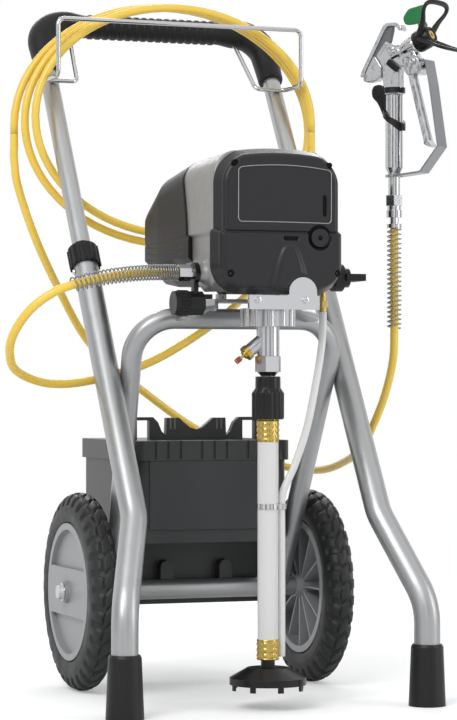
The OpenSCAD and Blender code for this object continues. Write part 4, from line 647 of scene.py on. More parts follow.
# %% Make the cover
def cover_points(columns, rows):
    """Face grid: x = u * half width of the row, z = the row lifted by the arch, y = relief + rim; then the walls."""
    u, v = eased(columns)[None, :], eased(rows)[:, None]
    centre, reach = (COVER_LOW + COVER_HIGH) / 2, (COVER_HIGH - COVER_LOW) / 2
    base = centre + reach * v
    full = LOWER_HALF + (UPPER_HALF - LOWER_HALF) * step(LEDGE_Z - 2, LEDGE_Z + 1, base)
    inward = COVER_R - np.minimum(COVER_HIGH - base, base - COVER_LOW)
    half = full - COVER_R + np.sqrt(np.maximum(COVER_R**2 - np.maximum(inward, 0) ** 2, 0))
    x, z = u * half, np.broadcast_to(base, (rows, columns))
    border = np.clip(-box_distance(x, z, (0.0, centre), (full, reach), COVER_R), 0, RIM_R)
    y = COVER_Y + cover_depth(x, z) * step(1.0, 4.0, border) + RIM_R - np.sqrt(RIM_R**2 - (RIM_R - border) ** 2)
    return np.stack([x, y, z + arch(x, z)], -1)


def cover_shell(columns=216, rows=224, wall_rows=12):
    """The face with its wall: the border moved outwards by the draft as it runs back, then closed behind."""
    face = cover_points(columns, rows)
    index = np.arange(rows * columns).reshape(rows, columns)
    loop = np.concatenate([index[0, :-1], index[:-1, -1], index[-1, :0:-1], index[:0:-1, 0]])[::-1]
    rim = face.reshape(-1, 3)[loop]
    along = unit(np.roll(rim, -1, axis=0)[:, [0, 2]] - np.roll(rim, 1, axis=0)[:, [0, 2]] + 1e-9)
    out = np.stack([-along[:, 1], np.zeros(len(loop)), along[:, 0]], -1)
    share = np.linspace(0, 1, wall_rows + 1)[1:, None, None]
    back = np.array([0.0, 1.0, 0.0]) * (COVER_BACK - rim[:, 1])[:, None]
    wall = rim + share * (DRAFT * out + back)
    rings = rows * columns + np.arange(wall_rows * len(loop)).reshape(wall_rows, len(loop))
    points = np.concatenate([face.reshape(-1, 3), wall.reshape(-1, 3), wall[-1:].mean(axis=1)])
    faces = [grid_faces(index, False), grid_faces(np.vstack([loop, rings]), True),
             fan_faces(rings[-1], len(points) - 1, True)]
    return make_mesh("front_cover_moulding", to_frame(points), faces)


cover = fit(cover_shell(), "cart", "cover_plastic", "front_cover")
print("cover faces:", len(cover.data.polygons))

# %% [markdown]
# A thin silver line is laid round the sunk panel. It follows the panel's outline and the same arch as the
# cover, so it is a closed tube with a radius of 0.6 mm, sunk into the face.

# %% Panel line
def closed_tube(name, path, radius, sides, normal):
    """A tube along a closed path: its last ring is joined to its first, and it has no ends."""
    normal = np.asarray(normal, float)
    along = unit(np.roll(path, -1, axis=0) - np.roll(path, 1, axis=0))
    u = unit(normal - (along @ normal)[:, None] * along)
    grid = carried_ovals(path, u, np.cross(along, u), radius, radius, sides)
    index = np.arange(len(path) * sides).reshape(len(path), sides)
    return make_mesh(name, grid.reshape(-1, 3), [grid_faces(np.vstack([index, index[:1]]), True)])


def panel_outline(per_side, per_corner):
    """The panel's outline in x and z: four arcs, each joined to the next by a straight side, under the arch."""
    (cx, cz), (hx, hz), r = PANEL["middle"], PANEL["half"], PANEL["r"]
    right, top = np.array([[1, -1, -1, 1], [1, 1, -1, -1]])[:, :, None]
    turn = (np.arange(4)[:, None] + np.linspace(0, 1, per_corner, endpoint=False)) * math.pi / 2
    arcs = np.stack([cx + right * (hx - r) + r * np.cos(turn), cz + top * (hz - r) + r * np.sin(turn)], -1)
    start, end = arcs[:, -1:], np.roll(arcs, -1, axis=0)[:, :1]
    sides = start + np.linspace(0, 1, per_side)[1:-1, None] * (end - start)
    x, z = np.concatenate([arcs, sides], axis=1).reshape(-1, 2).T
    return x, z + arch(x, z)


LINE_R, LINE_SUNK = 0.6, 0.15
line_x, line_z = panel_outline(40, 6)
line_path = to_frame(np.stack([line_x, np.full_like(line_x, COVER_Y + LINE_SUNK), line_z], -1))
panel_line = closed_tube("silver_panel_line", line_path, LINE_R * MM, 8, (0, 1, 0))
silver_line, _ = surface("silver_grey_panel_line", "#a5a6a8", 0.4, 0.35)
panel_line.data.materials.append(silver_line)
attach(panel_line, "cart")
print("panel line points:", len(line_path))

# %% [markdown]
# ## Gear housing and motor shroud
#
# Both are boxes with generous corners, drawn out along the motor's axis. A ring is a rounded rectangle with a
# fixed number of points, so rings of different sizes join point to point. The die-cast housing is fuller above
# the level of the ledge than below it. The shroud slips over its back: its front edge slants forwards on the way
# down, and its back is closed by a wide rounding.

# %% Rounded rings
SIDE_STEPS, FLAT_STEPS, CORNER_STEPS = 84, 36, 16


def rounded_ring(half, low, high, r):
    """Points of a rounded rectangle in x and z, anticlockwise from the front, with equal counts for every size."""
    turn = np.linspace(0, math.pi / 2, CORNER_STEPS, endpoint=False)
    flat, side = np.linspace(-1, 1, FLAT_STEPS + 1)[:-1], np.linspace(0, 1, SIDE_STEPS + 1)[:-1]
    wide, tall = half - r, high - low - 2 * r
    bottom = np.stack([flat * wide, np.full(FLAT_STEPS, low)], -1)
    right = np.stack([np.full(SIDE_STEPS, half), low + r + side * tall], -1)
    corner = np.stack([wide + r * np.sin(turn), low + r - r * np.cos(turn)], -1)
    half_ring = np.concatenate([bottom, corner, right])
    middle = np.array([0.0, (low + high) / 2])
    return np.concatenate([half_ring, 2 * middle - half_ring[:FLAT_STEPS], 2 * middle - half_ring[FLAT_STEPS:]])


def ring_outward(ring):
    """Outward direction in x and z at each point of an anticlockwise ring."""
    along = unit(np.roll(ring, -1, axis=0) - np.roll(ring, 1, axis=0) + 1e-9)
    return np.stack([along[:, 1], -along[:, 0]], -1)


CROWN, CROWN_FROM = 7.0, 660.0   # the arched top: how far its sides sink, and the level where that starts


def drawn_box(name, sections, push, front_at):
    """A box through sections (y, half width, low, high, corner radius); push moves points out, front_at bends y.

    The top is arched: a point sinks by the crown times the square of its share of the half width.
    """
    rows = []
    for y, half, low, high, r in sections:
        ring = rounded_ring(half, low, high, r)
        ring = ring + ring_outward(ring) * push(y, ring)[:, None]
        ring[:, 1] -= CROWN * (ring[:, 0] / half) ** 2 * step(CROWN_FROM, high, ring[:, 1])
        rows.append(np.stack([ring[:, 0], front_at(y, ring), ring[:, 1]], -1))
    return grid_piece(name, to_frame(np.array(rows)[:, ::-1]))


# %% Gear housing
def between(sections, count):
    """Sections at equal shares of the way through a list of key sections, each value blended in a straight line."""
    keys = np.array(sections, float)
    share = np.linspace(keys[0, 0], keys[-1, 0], count)
    return np.stack([share] + [np.interp(share, keys[:, 0], keys[:, k]) for k in range(1, keys.shape[1])], -1)


def housing_push(y, ring):
    """Below the ledge the wall stands 4 mm further in."""
    return -4.0 * step(LEDGE_Z + 1.5, LEDGE_Z - 4, ring[:, 1]) * (np.abs(ring[:, 0]) > 40)


def same_y(y, ring):
    """A ring that stays flat: every point at the section's own y."""
    return np.full(len(ring), y)


front_edge = (14.2, 91.5, 593, 795, 30)   # a little smaller than the section behind it, which rounds the edge
housing_sections = [front_edge, *between([(15.2, 92.7, 592, 797, 30), (151.8, 91.2, 596, 794, 30)], 40)]
housing = drawn_box("cast_gear_housing", housing_sections, housing_push, same_y)
fit(housing, "cart", "cast_metal", "gear_housing")
print("housing faces:", len(housing.data.polygons))

# %% [markdown]
# Turned parts come from one helper. A profile is a list of distances along an axis with a radius at each, and the
# surface is that profile carried round the axis. Short steps between neighbouring values make the small edge
# roundings that catch the light. The two bosses of the housing are turned with a fillet where they leave the wall.

# %% Turned surfaces
def turned_grid(origin, axis, profile, sides=48, waist=None):
    """p(s, a) = origin + s * axis + r(s) (cos a * u + sin a * w); waist scales the radius by angle where given."""
    axis = unit(axis)
    near = np.array([0.0, 0.0, 1.0]) if abs(axis[2]) < 0.9 else np.array([1.0, 0.0, 0.0])
    u = unit(near - (near @ axis) * axis)
    w = np.cross(axis, u)
    s, r = np.array(profile, float).T
    angle = cyclic(sides)
    ring = np.cos(angle)[:, None] * u + np.sin(angle)[:, None] * w
    scale = np.ones((len(s), sides)) if waist is None else waist(s[:, None], angle[None, :])
    return np.asarray(origin, float) + s[:, None, None] * axis + (r[:, None] * scale)[..., None] * ring


def turned(name, body, slot_name, origin, axis, profile, sides=48, waist=None, nodes=(), material=None,
           place=to_frame):
    """A turned piece, placed in the frame and fitted; its profile starts and ends near the axis, on two caps."""
    piece = grid_piece(name, place(turned_grid(origin, axis, profile, sides, waist)))
    return fit(piece, body, slot_name, *nodes, material=material)


def edged(profile, e=0.5):
    """A profile of plain corners with each corner cut twice, so that it turns in small equal parts."""
    p = np.array(profile, float)
    before, after = unit(p[:-2] - p[1:-1]), unit(p[2:] - p[1:-1])
    corner, lengths = p[1:-1], np.linalg.norm(np.diff(p, axis=0), axis=1)
    reach = np.minimum(e, 0.45 * np.minimum(lengths[:-1], lengths[1:]))[:, None]
    a, b = corner + before * reach, corner + after * reach
    middle = 0.25 * a + 0.5 * corner + 0.25 * b
    rows = np.stack([a, 0.5625 * a + 0.375 * corner + 0.0625 * b, middle,
                     0.0625 * a + 0.375 * corner + 0.5625 * b, b], axis=1)
    return np.vstack([p[:1], rows.reshape(-1, 2), p[-1:]])


BOSS_ROOT, BOSS_OUT = 84.0, 101.0
boss = edged([(0, 0.5), (0, 24), (4, 21), (7, 17), (10, 14.4), (14, 13.1), (BOSS_OUT - BOSS_ROOT, 13),
              (BOSS_OUT - BOSS_ROOT, 0.5)], 0.9)
for side, word, y, z in ((-1, "left", 60, 622), (1, "right", 50, 618)):
    turned(f"housing_boss_{word}", "cart", "cast_metal", (side * BOSS_ROOT, y, z), (side, 0, 0), boss)

# %% [markdown]
# ## Screws, slots and oiler
#
# The cover's screws are blackened and sit deep, and the same matt black paints shade into their sockets. The
# ring round the oiler is matt black too. Painted shade in that black also lies on the bottom of the slots and in
# the oiler's hole. The two screws of the drip shield are nickel plated. All but the slots are turned round an axis
# that points forwards.

# %% Screws
FORWARDS = (0, -1, 0)
# Matt black: the colour of the blackened screws and the oiler ring, and painted shade in the screw sockets, the slots
# and the oiler's hole.
black_and_painted_shade = relief(*surface("matt_black_and_painted_shade", "#060607", 0.0, 0.6, Specular_IOR_Level=0.15), 0.0008, 0.00002)
socket = edged([(-5, 0.4), (-5, 3.9), (0, 3.9), (0, 2.2), (-2.4, 2.0), (-2.5, 0.3)], 0.4)
for k, (x, z) in enumerate(SCREWS):
    turned(f"cover_screw_{k + 1}", "cart", "axle_steel", (x, COVER_Y + 1.8, z + arch(x, z)), FORWARDS, socket, 32,
           nodes=() if k else ("housing_screws",), material=black_and_painted_shade)
shield_screw = edged([(-12, 0.4), (-12, 2), (-2.8, 2), (-2.8, 5.6), (-2, 5.6), (-1.6, 4), (0.4, 3.8), (0.4, 2.2),
                      (-1.6, 2.0), (-1.7, 0.3)], 0.3)
for k, x in enumerate((-38, 34)):
    turned(f"shield_screw_{k + 1}", "cart", "bright_steel", (x, -16.4, 582), FORWARDS, shield_screw, 32)

# %% Oiler
ring_profile = edged([(-2, 0.3), (-2, 17.4), (0.6, 17.4), (0.6, 14.0), (0.4, 13.8), (-1.9, 13.7)], 0.3)
face_profile = edged([(-6, 0.4), (-6, 13.2), (1.6, 13.2), (2.6, 12.4), (2.2, 7.5), (2.0, 3.4), (-0.6, 3.1),
                      (-0.8, 0.3)], 0.5)
turned("oiler_ring", "cart", "black_plastic", (OILER[0], COVER_Y + 2.9, OILER[1]), FORWARDS, ring_profile, 72,
       material=black_and_painted_shade)
turned("press_oiler_face", "oiler", "cover_plastic", (OILER[0], COVER_Y, OILER[1]), FORWARDS, face_profile, 72,
       nodes=("oiler_button",))
# A black disc at the bottom of the oiler's hole: painted shade.
turned("press_oiler_hole_painted_shade", "oiler", "black_plastic", (OILER[0], COVER_Y - 0.9, OILER[1]), FORWARDS,
       [(-1, 0.3), (-1, 3.0), (0.9, 3.0), (0.9, 0.3)], 24, material=black_and_painted_shade)


# %% Painted shade at the bottom of the slots
FLOOR_SIDES, FLOOR_THICK = 48, 1.0


def slot_shade_plate(name, middle, half, r, depth):
    """A thin matt black plate on the bottom of a slot, as painted shade: two fans of triangles over a rounded
    rectangle and their rim.
    """
    turn = cyclic(FLOOR_SIDES)
    x = middle[0] + (half[0] - r) * np.sign(np.cos(turn)) + r * np.cos(turn)
    z = middle[1] + (half[1] - r) * np.sign(np.sin(turn)) + r * np.sin(turn)
    x, z = np.append(x, middle[0]), np.append(z, middle[1])
    front = np.stack([x, np.full_like(x, COVER_Y + depth), z + arch(x, z)], -1)
    rear = front + [0, FLOOR_THICK, 0]
    points = np.concatenate([front[:-1], rear[:-1], front[-1:], rear[-1:]])
    index = np.arange(2 * FLOOR_SIDES).reshape(2, FLOOR_SIDES)
    faces = [grid_faces(index[::-1], True), fan_faces(index[0], len(points) - 2, True),
             fan_faces(index[1], len(points) - 1, False)]
    return fit(make_mesh(name, to_frame(points), faces, smooth=False), "cart", "black_plastic", material=black_and_painted_shade)


# Black plates as painted shade, where the slots' depth alone looks too light.
slot_shade_plate("upright_slot_floor", UPRIGHT_SLOT["middle"], (2.9, 14.4), 2.8, depth=3.6)
slot_shade_plate("level_slot_floor", LEVEL_SLOT["middle"], (11.3, 3.1), 3.0, depth=1.2)
print("fittings of the cover made")

# %% [markdown]
# The shroud has a coarser, duller grain than the small fittings, so it mirrors less of what stands round it.

# %% Motor shroud
SHROUD_FRONT, SHROUD_KNEE, SHROUD_TAIL, TAIL_R = 152.5, 262.0, 328.0, 12.0
SLIT_LEVELS = (668, 658, 648, 638)


def shroud_front(z):
    """Front edge of the shroud: it slants forwards by 22 mm down to the ledge, and stands 10 mm further below it."""
    return SHROUD_FRONT - 22 * step(790, LEDGE_Z, z) ** 0.8 - 10 * step(LEDGE_Z + 1, LEDGE_Z - 2, z)


def shroud_y(y, ring):
    """y of each point: the front edge's own shape fades out until the knee."""
    fade = np.clip((SHROUD_KNEE - y) / (SHROUD_KNEE - SHROUD_FRONT), 0, 1)
    return y + (shroud_front(ring[:, 1]) - SHROUD_FRONT) * fade


def shroud_push(y, ring):
    """A crease at the ledge's level and four sloping air slits below it, between the front edge and the back."""
    z, inside = ring[:, 1], step(170, 190, y) * step(318, 300, y) * (np.abs(ring[:, 0]) > 70)
    slope = 0.05 * (y - 240)
    slits = sum(np.exp(-((z - slope - level) / 1.5) ** 2) for level in SLIT_LEVELS)
    crease = np.exp(-((z - LEDGE_Z + 2) / 2.0) ** 2) * (np.abs(ring[:, 0]) > 60)
    return -1.1 * crease * step(SHROUD_FRONT - 2, SHROUD_FRONT + 6, y) - 1.4 * slits * inside


keys = [(SHROUD_FRONT, 94, 612, 794, 34), (SHROUD_KNEE, 94, 610, 780, 34), (SHROUD_TAIL, 91.7, 617, 748, 34)]
quarter = np.linspace(0, math.pi / 2, 9)[1:]
back, inwards = TAIL_R * np.sin(quarter), TAIL_R * (1 - np.cos(quarter))
tail = np.stack([SHROUD_TAIL + back, 91.7 - inwards, 617 + inwards, 748 - 5 / TAIL_R * back - inwards,
                 34 - 10 / TAIL_R * inwards], -1)
shroud_sections = [(152.6, 92.0, 614, 792, 32), *between(keys, 84), *tail]
shroud = drawn_box("motor_shroud_moulding", shroud_sections, shroud_push, shroud_y)
dull_nylon = relief(*surface("textured_black_nylon", "#151516", 0.0, 0.42, IOR=1.53, Specular_IOR_Level=0.15),
                    0.0009, 0.00006, edge=0.001)
fit(shroud, "cart", "black_plastic", "motor_shroud", material=dull_nylon)
print("shroud faces:", len(shroud.data.polygons))

# %% [markdown]
# ## The spray gun
#
# The gun hangs from its swivel beside the cart. Its own frame has x forwards, y to its left and z up, and stands
# turned about the upright hose. A second frame follows the barrel, which points up by 22 degrees. The body and
# the green tip are slabs with rounded edges, drawn from an outline. The guard's two wings are flattened bars
# carried along a loop, which is how a moulded loop is made: the plastic flows round a hole.

# %% The gun's two frames
GUN_TURN, BARREL_RISE, BARREL_AT = -55.0, 22.0, (5.2, 0.0, 258.7)


def turned_about(points, axis, degrees):
    """Points turned about the x, y or z axis (0, 1, 2) by an angle, the usual rotation of the other two values."""
    p = np.array(points, float)
    c, s = math.cos(math.radians(degrees)), math.sin(math.radians(degrees))
    i, j = (axis + 1) % 3, (axis + 2) % 3
    a, b = p[..., i].copy(), p[..., j].copy()
    p[..., i], p[..., j] = c * a - s * b, s * a + c * b
    return p


def gun_point(points):
    """Points of the gun's frame in the drawing: turned about the hose and lifted to it."""
    return turned_about(points, 2, GUN_TURN) + [GUN_X, GUN_Y, GUN_Z]


def barrel_point(points):
    """Points of the barrel's frame, z along the bore and -x upwards, in the drawing."""
    return gun_point(turned_about(points, 1, 90 - BARREL_RISE) + BARREL_AT)


def in_plane(points):
    """Points (u, v, level) of a slab in the gun's plane: u along its x, v along its z, the level along -y."""
    return to_frame(gun_point(np.stack([points[:, 0], -points[:, 2], points[:, 1]], -1)))


def round_bore(points):
    """Points of the barrel's frame, in the frame."""
    return to_frame(barrel_point(points))


# %% Slabs
def anticlockwise(outline):
    """An outline turned round if its signed area, half the sum of x1 z2 - z1 x2, is negative."""
    ring = np.asarray(outline, float)
    after = np.roll(ring, -1, axis=0)
    return ring if np.sum(ring[:, 0] * after[:, 1] - ring[:, 1] * after[:, 0]) > 0 else ring[::-1]


def corner_cut(points, share=0.28, times=2):
    """An outline with every corner cut at a share of both its sides, so that corners turn in short steps."""
    p = np.asarray(points, float)
    for _ in range(times):
        after = np.roll(p, -1, axis=0)
        p = np.stack([p + share * (after - p), after - share * (after - p)], axis=1).reshape(-1, 2)
    return p


def slab(name, outline, place, low, high, r, turns=5):
    """A slab from low to high over a closed outline (u, v), with quarter-round edges of radius r on both sides."""
    ring = anticlockwise(outline)
    q = np.linspace(0, math.pi / 2, turns)
    inset = np.concatenate([r * (1 - np.sin(q)), r * (1 - np.cos(q))])
    level = np.concatenate([low + r * (1 - np.cos(q)), high - r + r * np.sin(q)])
    flat = ring[None] - inset[:, None, None] * ring_outward(ring)[None]
    grid = np.concatenate([flat, np.broadcast_to(level[:, None, None], flat.shape[:2] + (1,))], -1)
    index = np.arange(2 * turns * len(ring)).reshape(2 * turns, len(ring))
    return make_mesh(name, place(grid.reshape(-1, 3)), [grid_faces(index, True), index[:1, ::-1], index[-1:]])


print("gun stands at", gun_point([0, 0, 0]), "mm")

# %% [markdown]
# ## Tip guard and tip
#
# The guard's head is a turned cap with a shallow cone, open in front where the brass seat of the tip shows. The
# wings start inside the head, run out as a bar 8 mm wide and 5.5 mm thick, and come back.

# %% Head and brass seat
BORE = ((0, 0, 0), (0, 0, 1))   # origin and axis of everything turned round the bore
HEAD_S, HEAD_L = 38.0, 30.0   # start and length of the guard's head along the bore
TIP_S = 57.0   # place of the tip's own axis along the bore

head_profile = [(HEAD_S, 8.0), (HEAD_S, 15.8), (HEAD_S + 4, 17), (HEAD_S + 18, 17), (HEAD_S + 25, 15.8),
                (HEAD_S + 28.5, 13.8), (HEAD_S + HEAD_L, 11.8), (HEAD_S + HEAD_L, 8.8), (HEAD_S + 27, 8.4),
                (HEAD_S + 26, 0.5)]
seat_profile = [(HEAD_S + 26.6, 0.4), (HEAD_S + 27.6, 0.5), (HEAD_S + 27.6, 2.2), (HEAD_S + 28.8, 2.8),
                (HEAD_S + 28.8, 7.2), (HEAD_S + 27.2, 7.9), (HEAD_S + 26.6, 7.9), (HEAD_S + 26.5, 0.4)]
bore_profile = [(HEAD_S + 26, 0.3), (HEAD_S + 26, 2.6), (HEAD_S + 28.2, 2.6), (HEAD_S + 28.2, 0.3)]
turned("tip_guard_head", "guard", "black_plastic", *BORE, edged(head_profile, 1.2), 56, nodes=("tip_guard",),
       place=round_bore)
turned("brass_tip_seat", "tip", "brass", *BORE, edged(seat_profile, 0.4), 56, place=round_bore)
turned("tip_bore_shadow", "tip", "black_plastic", *BORE, bore_profile, 24, place=round_bore)

# %% Wings of the guard
WING_S, WING_RISE = 50.0, math.radians(42)   # start along the bore, and the angle away from it
WING_HALF_THICK, WING_HALF_WIDE = 2.7, 4.1
WING_ROOT = 0.9   # share by which a bar is stouter where it meets the head


def wing_path(side):
    """The loop of a wing: out from the head at an angle to the bore, along its far bar and back."""
    half = np.array([(4, -14), (16, -17.5), (30, -23), (43, -31), (52, -32), (57.5, -25), (59.6, -12)])
    t, q = smooth_route(np.vstack([half, half[::-1] * [1, -1]]), 8).T
    return np.stack([-side * math.sin(WING_RISE) * t, q, WING_S + math.cos(WING_RISE) * t], -1)


for side, word in ((1, "upper"), (-1, "lower")):
    path = barrel_point(wing_path(side))
    normal = unit(np.cross(path[30] - path[10], path[60] - path[30]))   # three points of the loop span its plane
    stout = 1 + WING_ROOT * step(0.55, 1.0, np.abs(np.linspace(-1, 1, len(path))))
    oval = carried_ovals(path, *carried_frames(path, normal), WING_HALF_THICK * stout, WING_HALF_WIDE * stout, 24)
    fit(grid_piece(f"tip_guard_wing_{word}", to_frame(oval)), "guard", "black_plastic")

# %% Green tip
tip_outline = [(50.5, 16), (50.5, 26), (44, 28.5), (36, 31.5), (31, 36), (31.5, 45), (38, 50.5), (46, 53.6),
               (57.5, 51.5), (69, 49), (70, 46), (66, 38), (63.5, 27), (63.5, 16)]


def along_bore(points):
    """Points (s, out, level) of the tip's handle: s along the bore, out away from it, the level across."""
    return round_bore(np.stack([-points[:, 1], points[:, 2], points[:, 0]], -1))


def across_bore(points):
    """Points turned round an upright axis, laid across the bore at the tip's place on it."""
    return round_bore(np.stack([points[..., 2], points[..., 1], TIP_S - points[..., 0]], -1)[::-1])


tip_flag = slab("green_tip_handle", closed_curve(tip_outline, 6), along_bore, -3.2, 3.2, 1.6)
fit(tip_flag, "tip", "tip_green", "spray_tip")
tip_profile = edged([(-24, 0.4), (-24, 6.4), (-14, 6.9), (14, 6.9), (14, 0.4)], 0.7)
turned("brass_tip_barrel", "tip", "brass", *BORE, tip_profile, place=across_bore)
print("tip and guard made")

# %% [markdown]
# ## Body, barrel and rest
#
# A forged body is built up from plates: a polished spine that ends in the hook, a recessed pocket in darker,
# rougher alloy as painted shade, a pad at the back, and the block that carries barrel and trigger. Each plate is an
# outline drawn out between two levels, and a Bevel modifier rounds its edges, which also works in the inner corners.
# The barrel has a collar and a knurled nut, whose ribs are a radius that varies with the angle.

# %% Body of plates
def plate(name, outline, low, high, e, material=None):
    """A plate of the gun between two levels over an outline (x, z), its edges rounded by a bevel of width e."""
    ring = anticlockwise(outline)
    points = np.concatenate([np.column_stack([ring, np.full(len(ring), level)]) for level in (low, high)])
    index = np.arange(2 * len(ring)).reshape(2, len(ring))
    piece = make_mesh(name, in_plane(points), [grid_faces(index, True), index[:1, ::-1], index[1:]])
    bevel = piece.modifiers.new("edges", "BEVEL")
    bevel.width, bevel.segments, bevel.limit_method, bevel.angle_limit = e * MM, 3, "ANGLE", math.radians(20)
    bevel.harden_normals = True
    return fit(piece, "gun", "gun_alloy", material=material)


# The pocket is a darker, rougher alloy than the polished plates: painted shade for its recess between spine and
# block.
pocket_shade_alloy = relief(*surface("darker_alloy_painted_shade", "#77787a", 0.9, 0.45), 0.0015, 0.00008, edge=0.0006)
spine = [(-57, 227), (-54.5, 235), (-15.5, 304), (-12, 306.5), (8, 306.5), (15, 303), (18, 297), (16.5, 293),
         (12, 294), (8, 299.5), (3, 301), (-8.5, 300.2), (-12.2, 297), (-47, 236), (-50, 226.5)]
pocket = [(-49, 222), (-52, 233), (-14, 300), (-1.5, 301), (-1.5, 296), (-6.5, 276), (0, 262), (0, 225), (-16, 222),
          (-18.5, 227), (-28.5, 220)]
pad = [(-52.5, 221.5), (-46.5, 235.5), (-34.5, 256.5), (-30, 257), (-19, 240.5), (-18.8, 227.9), (-28, 219),
       (-48, 218.5)]
block = [(-11, 279.5), (-6, 276.5), (12, 270), (20, 262), (40, 262), (44, 253), (50, 249), (50, 242), (46, 237),
         (30, 237), (16, 238), (13, 228), (13, 196), (-13, 196), (-16.5, 220), (-16.8, 241), (-28, 257.5), (-27, 260)]
gun_spine = plate("gun_spine_and_hook", spine, -8.3, 8.3, 1.4)
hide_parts("gun_body")
# The pocket's darker alloy is painted shade.
plate("gun_pocket_painted_shade", pocket, -4.6, 4.6, 0.8, pocket_shade_alloy)
plate("gun_back_pad", pad, -7.4, 7.4, 1.4)
plate("gun_forged_block", block, -8, 8, 1.6)
plate("gun_block_rib", [(-25, 259), (-10, 277), (-7, 274.5), (-21, 257.5)], 7, 9.6, 0.9)
plate("gun_trigger_lug", [(20, 259), (39, 259.5), (42, 252.5), (34, 250), (22, 251)], 7, 9.4, 0.9)


def gun_disc(name, x, z, level, r, height, hole):
    """A small turned head on the near face of the gun, with a round hollow in its middle."""
    profile = edged([(-2, 0.3), (-2, r), (height, r), (height, hole), (height - 1.6, hole - 0.2),
                     (height - 1.7, 0.3)], 0.5)
    where, axis = gun_point([x, -level, z]), gun_point([0, -1, 0]) - gun_point([0, 0, 0])
    return turned(name, "gun", "bright_steel", where, axis, profile, 36)


gun_disc("gun_pivot_head", 38, 244, 12.4, 4.6, 1.6, 2.0)
gun_disc("gun_plug_screw", -2, 265, 8, 5.2, 2.2, 2.6)
print("gun body plates made")

# %% Barrel
def knurl(s, a):
    """Twenty ribs on the nut between 24 and 35 mm along the barrel: the radius waves by 3 parts in a hundred."""
    return 1 + 0.03 * np.cos(20 * a) * step(24, 25, s) * step(35, 34, s)


barrel_profile = [(-8, 0.4), (-8, 10.6), (4, 10.9), (5, 12.4), (9.5, 12.4), (10.5, 10.9), (14, 10.9), (15.5, 12.6),
                  (22, 13.5), (24, 13.6), (35, 13.6), (37.4, 12.6), (37.6, 0.4)]
turned("polished_barrel", "gun", "gun_alloy", *BORE, edged(barrel_profile, 0.8), 80, knurl, place=round_bore)

# %% [markdown]
# The hand rest and the trigger's lock are black slabs. The lock is a bar with cut corners that lies on the block,
# turned by 38 degrees about its pin.

# %% Rest and lock
LOCK_TURN, LOCK_AT = math.radians(-38), (4.6, 240.0)
rest_outline = [(-36, 206.5), (-37, 200), (-34.5, 192.5), (-28, 186), (-22, 176), (-17.5, 166.5), (-12, 165),
                (-10.5, 172), (-11, 200), (-12, 208), (-23, 213), (-33, 211.5)]
rest = slab("black_hand_rest", closed_curve(rest_outline, 5), in_plane, -8.6, 8.6, 4.2, turns=7)
fit(rest, "gun", "black_plastic")
flat_lock = corner_cut([(-12, -4), (-9, -5.5), (9, -5.5), (12, -4), (12, 4), (9, 5.5), (-9, 5.5), (-12, 4)])
turn_matrix = np.array([[math.cos(LOCK_TURN), math.sin(LOCK_TURN)], [-math.sin(LOCK_TURN), math.cos(LOCK_TURN)]])
lock = slab("black_trigger_lock", flat_lock @ turn_matrix + LOCK_AT, in_plane, 8.3, 13.6, 1.6)
fit(lock, "lock", "black_plastic", "trigger_lock")
print("gun pieces made")

# %% [markdown]
# ## Rubber sleeve of the handle
#
# The sleeve is one tube whose radius changes along the handle: it swells towards each bend, where the hand
# pushes, narrows again on the crossbar and carries a row of grip rings there. The radius is a sum of soft steps
# in the distance along the handle, with one smooth bulge in the middle of each bend.

# %% Handle line and sleeve
LEAN = math.radians(33.0)
HANDLE_Y, HANDLE_Z, HANDLE_HALF, HANDLE_BEND = 579.27, 1040.0, 188.5, 45.0
SLEEVE_LOW, SLEEVE_R, SWELL, WAIST = 956.0, 20.2, 2.8, 2.0   # radius at the end, more at the bend, less on the bar
RING_COUNT, RING_HIGH, RING_MARGIN = 17, 1.5, 34.0   # an odd count puts one ring on the middle
BULGE_HIGH, BULGE_AT, BULGE_LONG = 1.3, 30.0, 26.0   # the bulge of a bend, its place past the rise, its reach


def handle_line(count):
    """Half of the handle's centre line: up the lean, round a bend in its own plane, and along to the middle."""
    up = np.array([0.0, math.sin(LEAN), math.cos(LEAN)])
    corner = np.array([-HANDLE_HALF, HANDLE_Y, HANDLE_Z])
    rise = (HANDLE_Z - SLEEVE_LOW) / math.cos(LEAN) - HANDLE_BEND
    turn = np.linspace(0, math.pi / 2, 25)[1:-1, None]
    centre = corner + HANDLE_BEND * (np.array([1.0, 0, 0]) - up)
    leg = centre - [HANDLE_BEND, 0, 0] + np.linspace(-rise, 0, 20)[:, None] * up
    bend = centre + HANDLE_BEND * (np.sin(turn) * up - np.cos(turn) * np.array([1.0, 0, 0]))
    bar = centre + HANDLE_BEND * up + np.linspace(0, 1, count)[:, None] * [HANDLE_HALF - HANDLE_BEND, 0, 0]
    return np.vstack([leg, bend, bar]), rise


half_line, sleeve_rise = handle_line(180)
line = np.vstack([half_line, half_line[-2::-1] * [-1, 1, 1]])
s = run_length(half_line)
past_bend = sleeve_rise + HANDLE_BEND * math.pi / 2
ring_start = past_bend + RING_MARGIN
ring_pitch = 2 * (s[-1] - ring_start) / RING_COUNT
from_ring = np.abs((s - ring_start) / ring_pitch % 1 - 0.5)
rings = RING_HIGH * step(0.32, 0.22, from_ring) * step(ring_start - 1, ring_start + 2, s)
swell = SWELL * step(0, sleeve_rise + 20, s) - (SWELL + WAIST) * step(past_bend, ring_start, s)
bulge = BULGE_HIGH * np.exp(-((s - sleeve_rise - BULGE_AT) / BULGE_LONG) ** 2)
half_radius = SLEEVE_R + swell + rings
half_radius[:2] = 18.6, 19.8   # the rounded lip at the sleeve's end
half_radius += bulge
radius = np.concatenate([half_radius, half_radius[-2::-1]])
sleeve = grid_piece("rubber_handle_sleeve", to_frame(tube_grid(line, radius, 40, (0, 1, 0))))
fit(sleeve, "handle", "grip_rubber", "hand_grip")
print("sleeve runs over", round(2 * float(s[-1])), "mm of the handle")

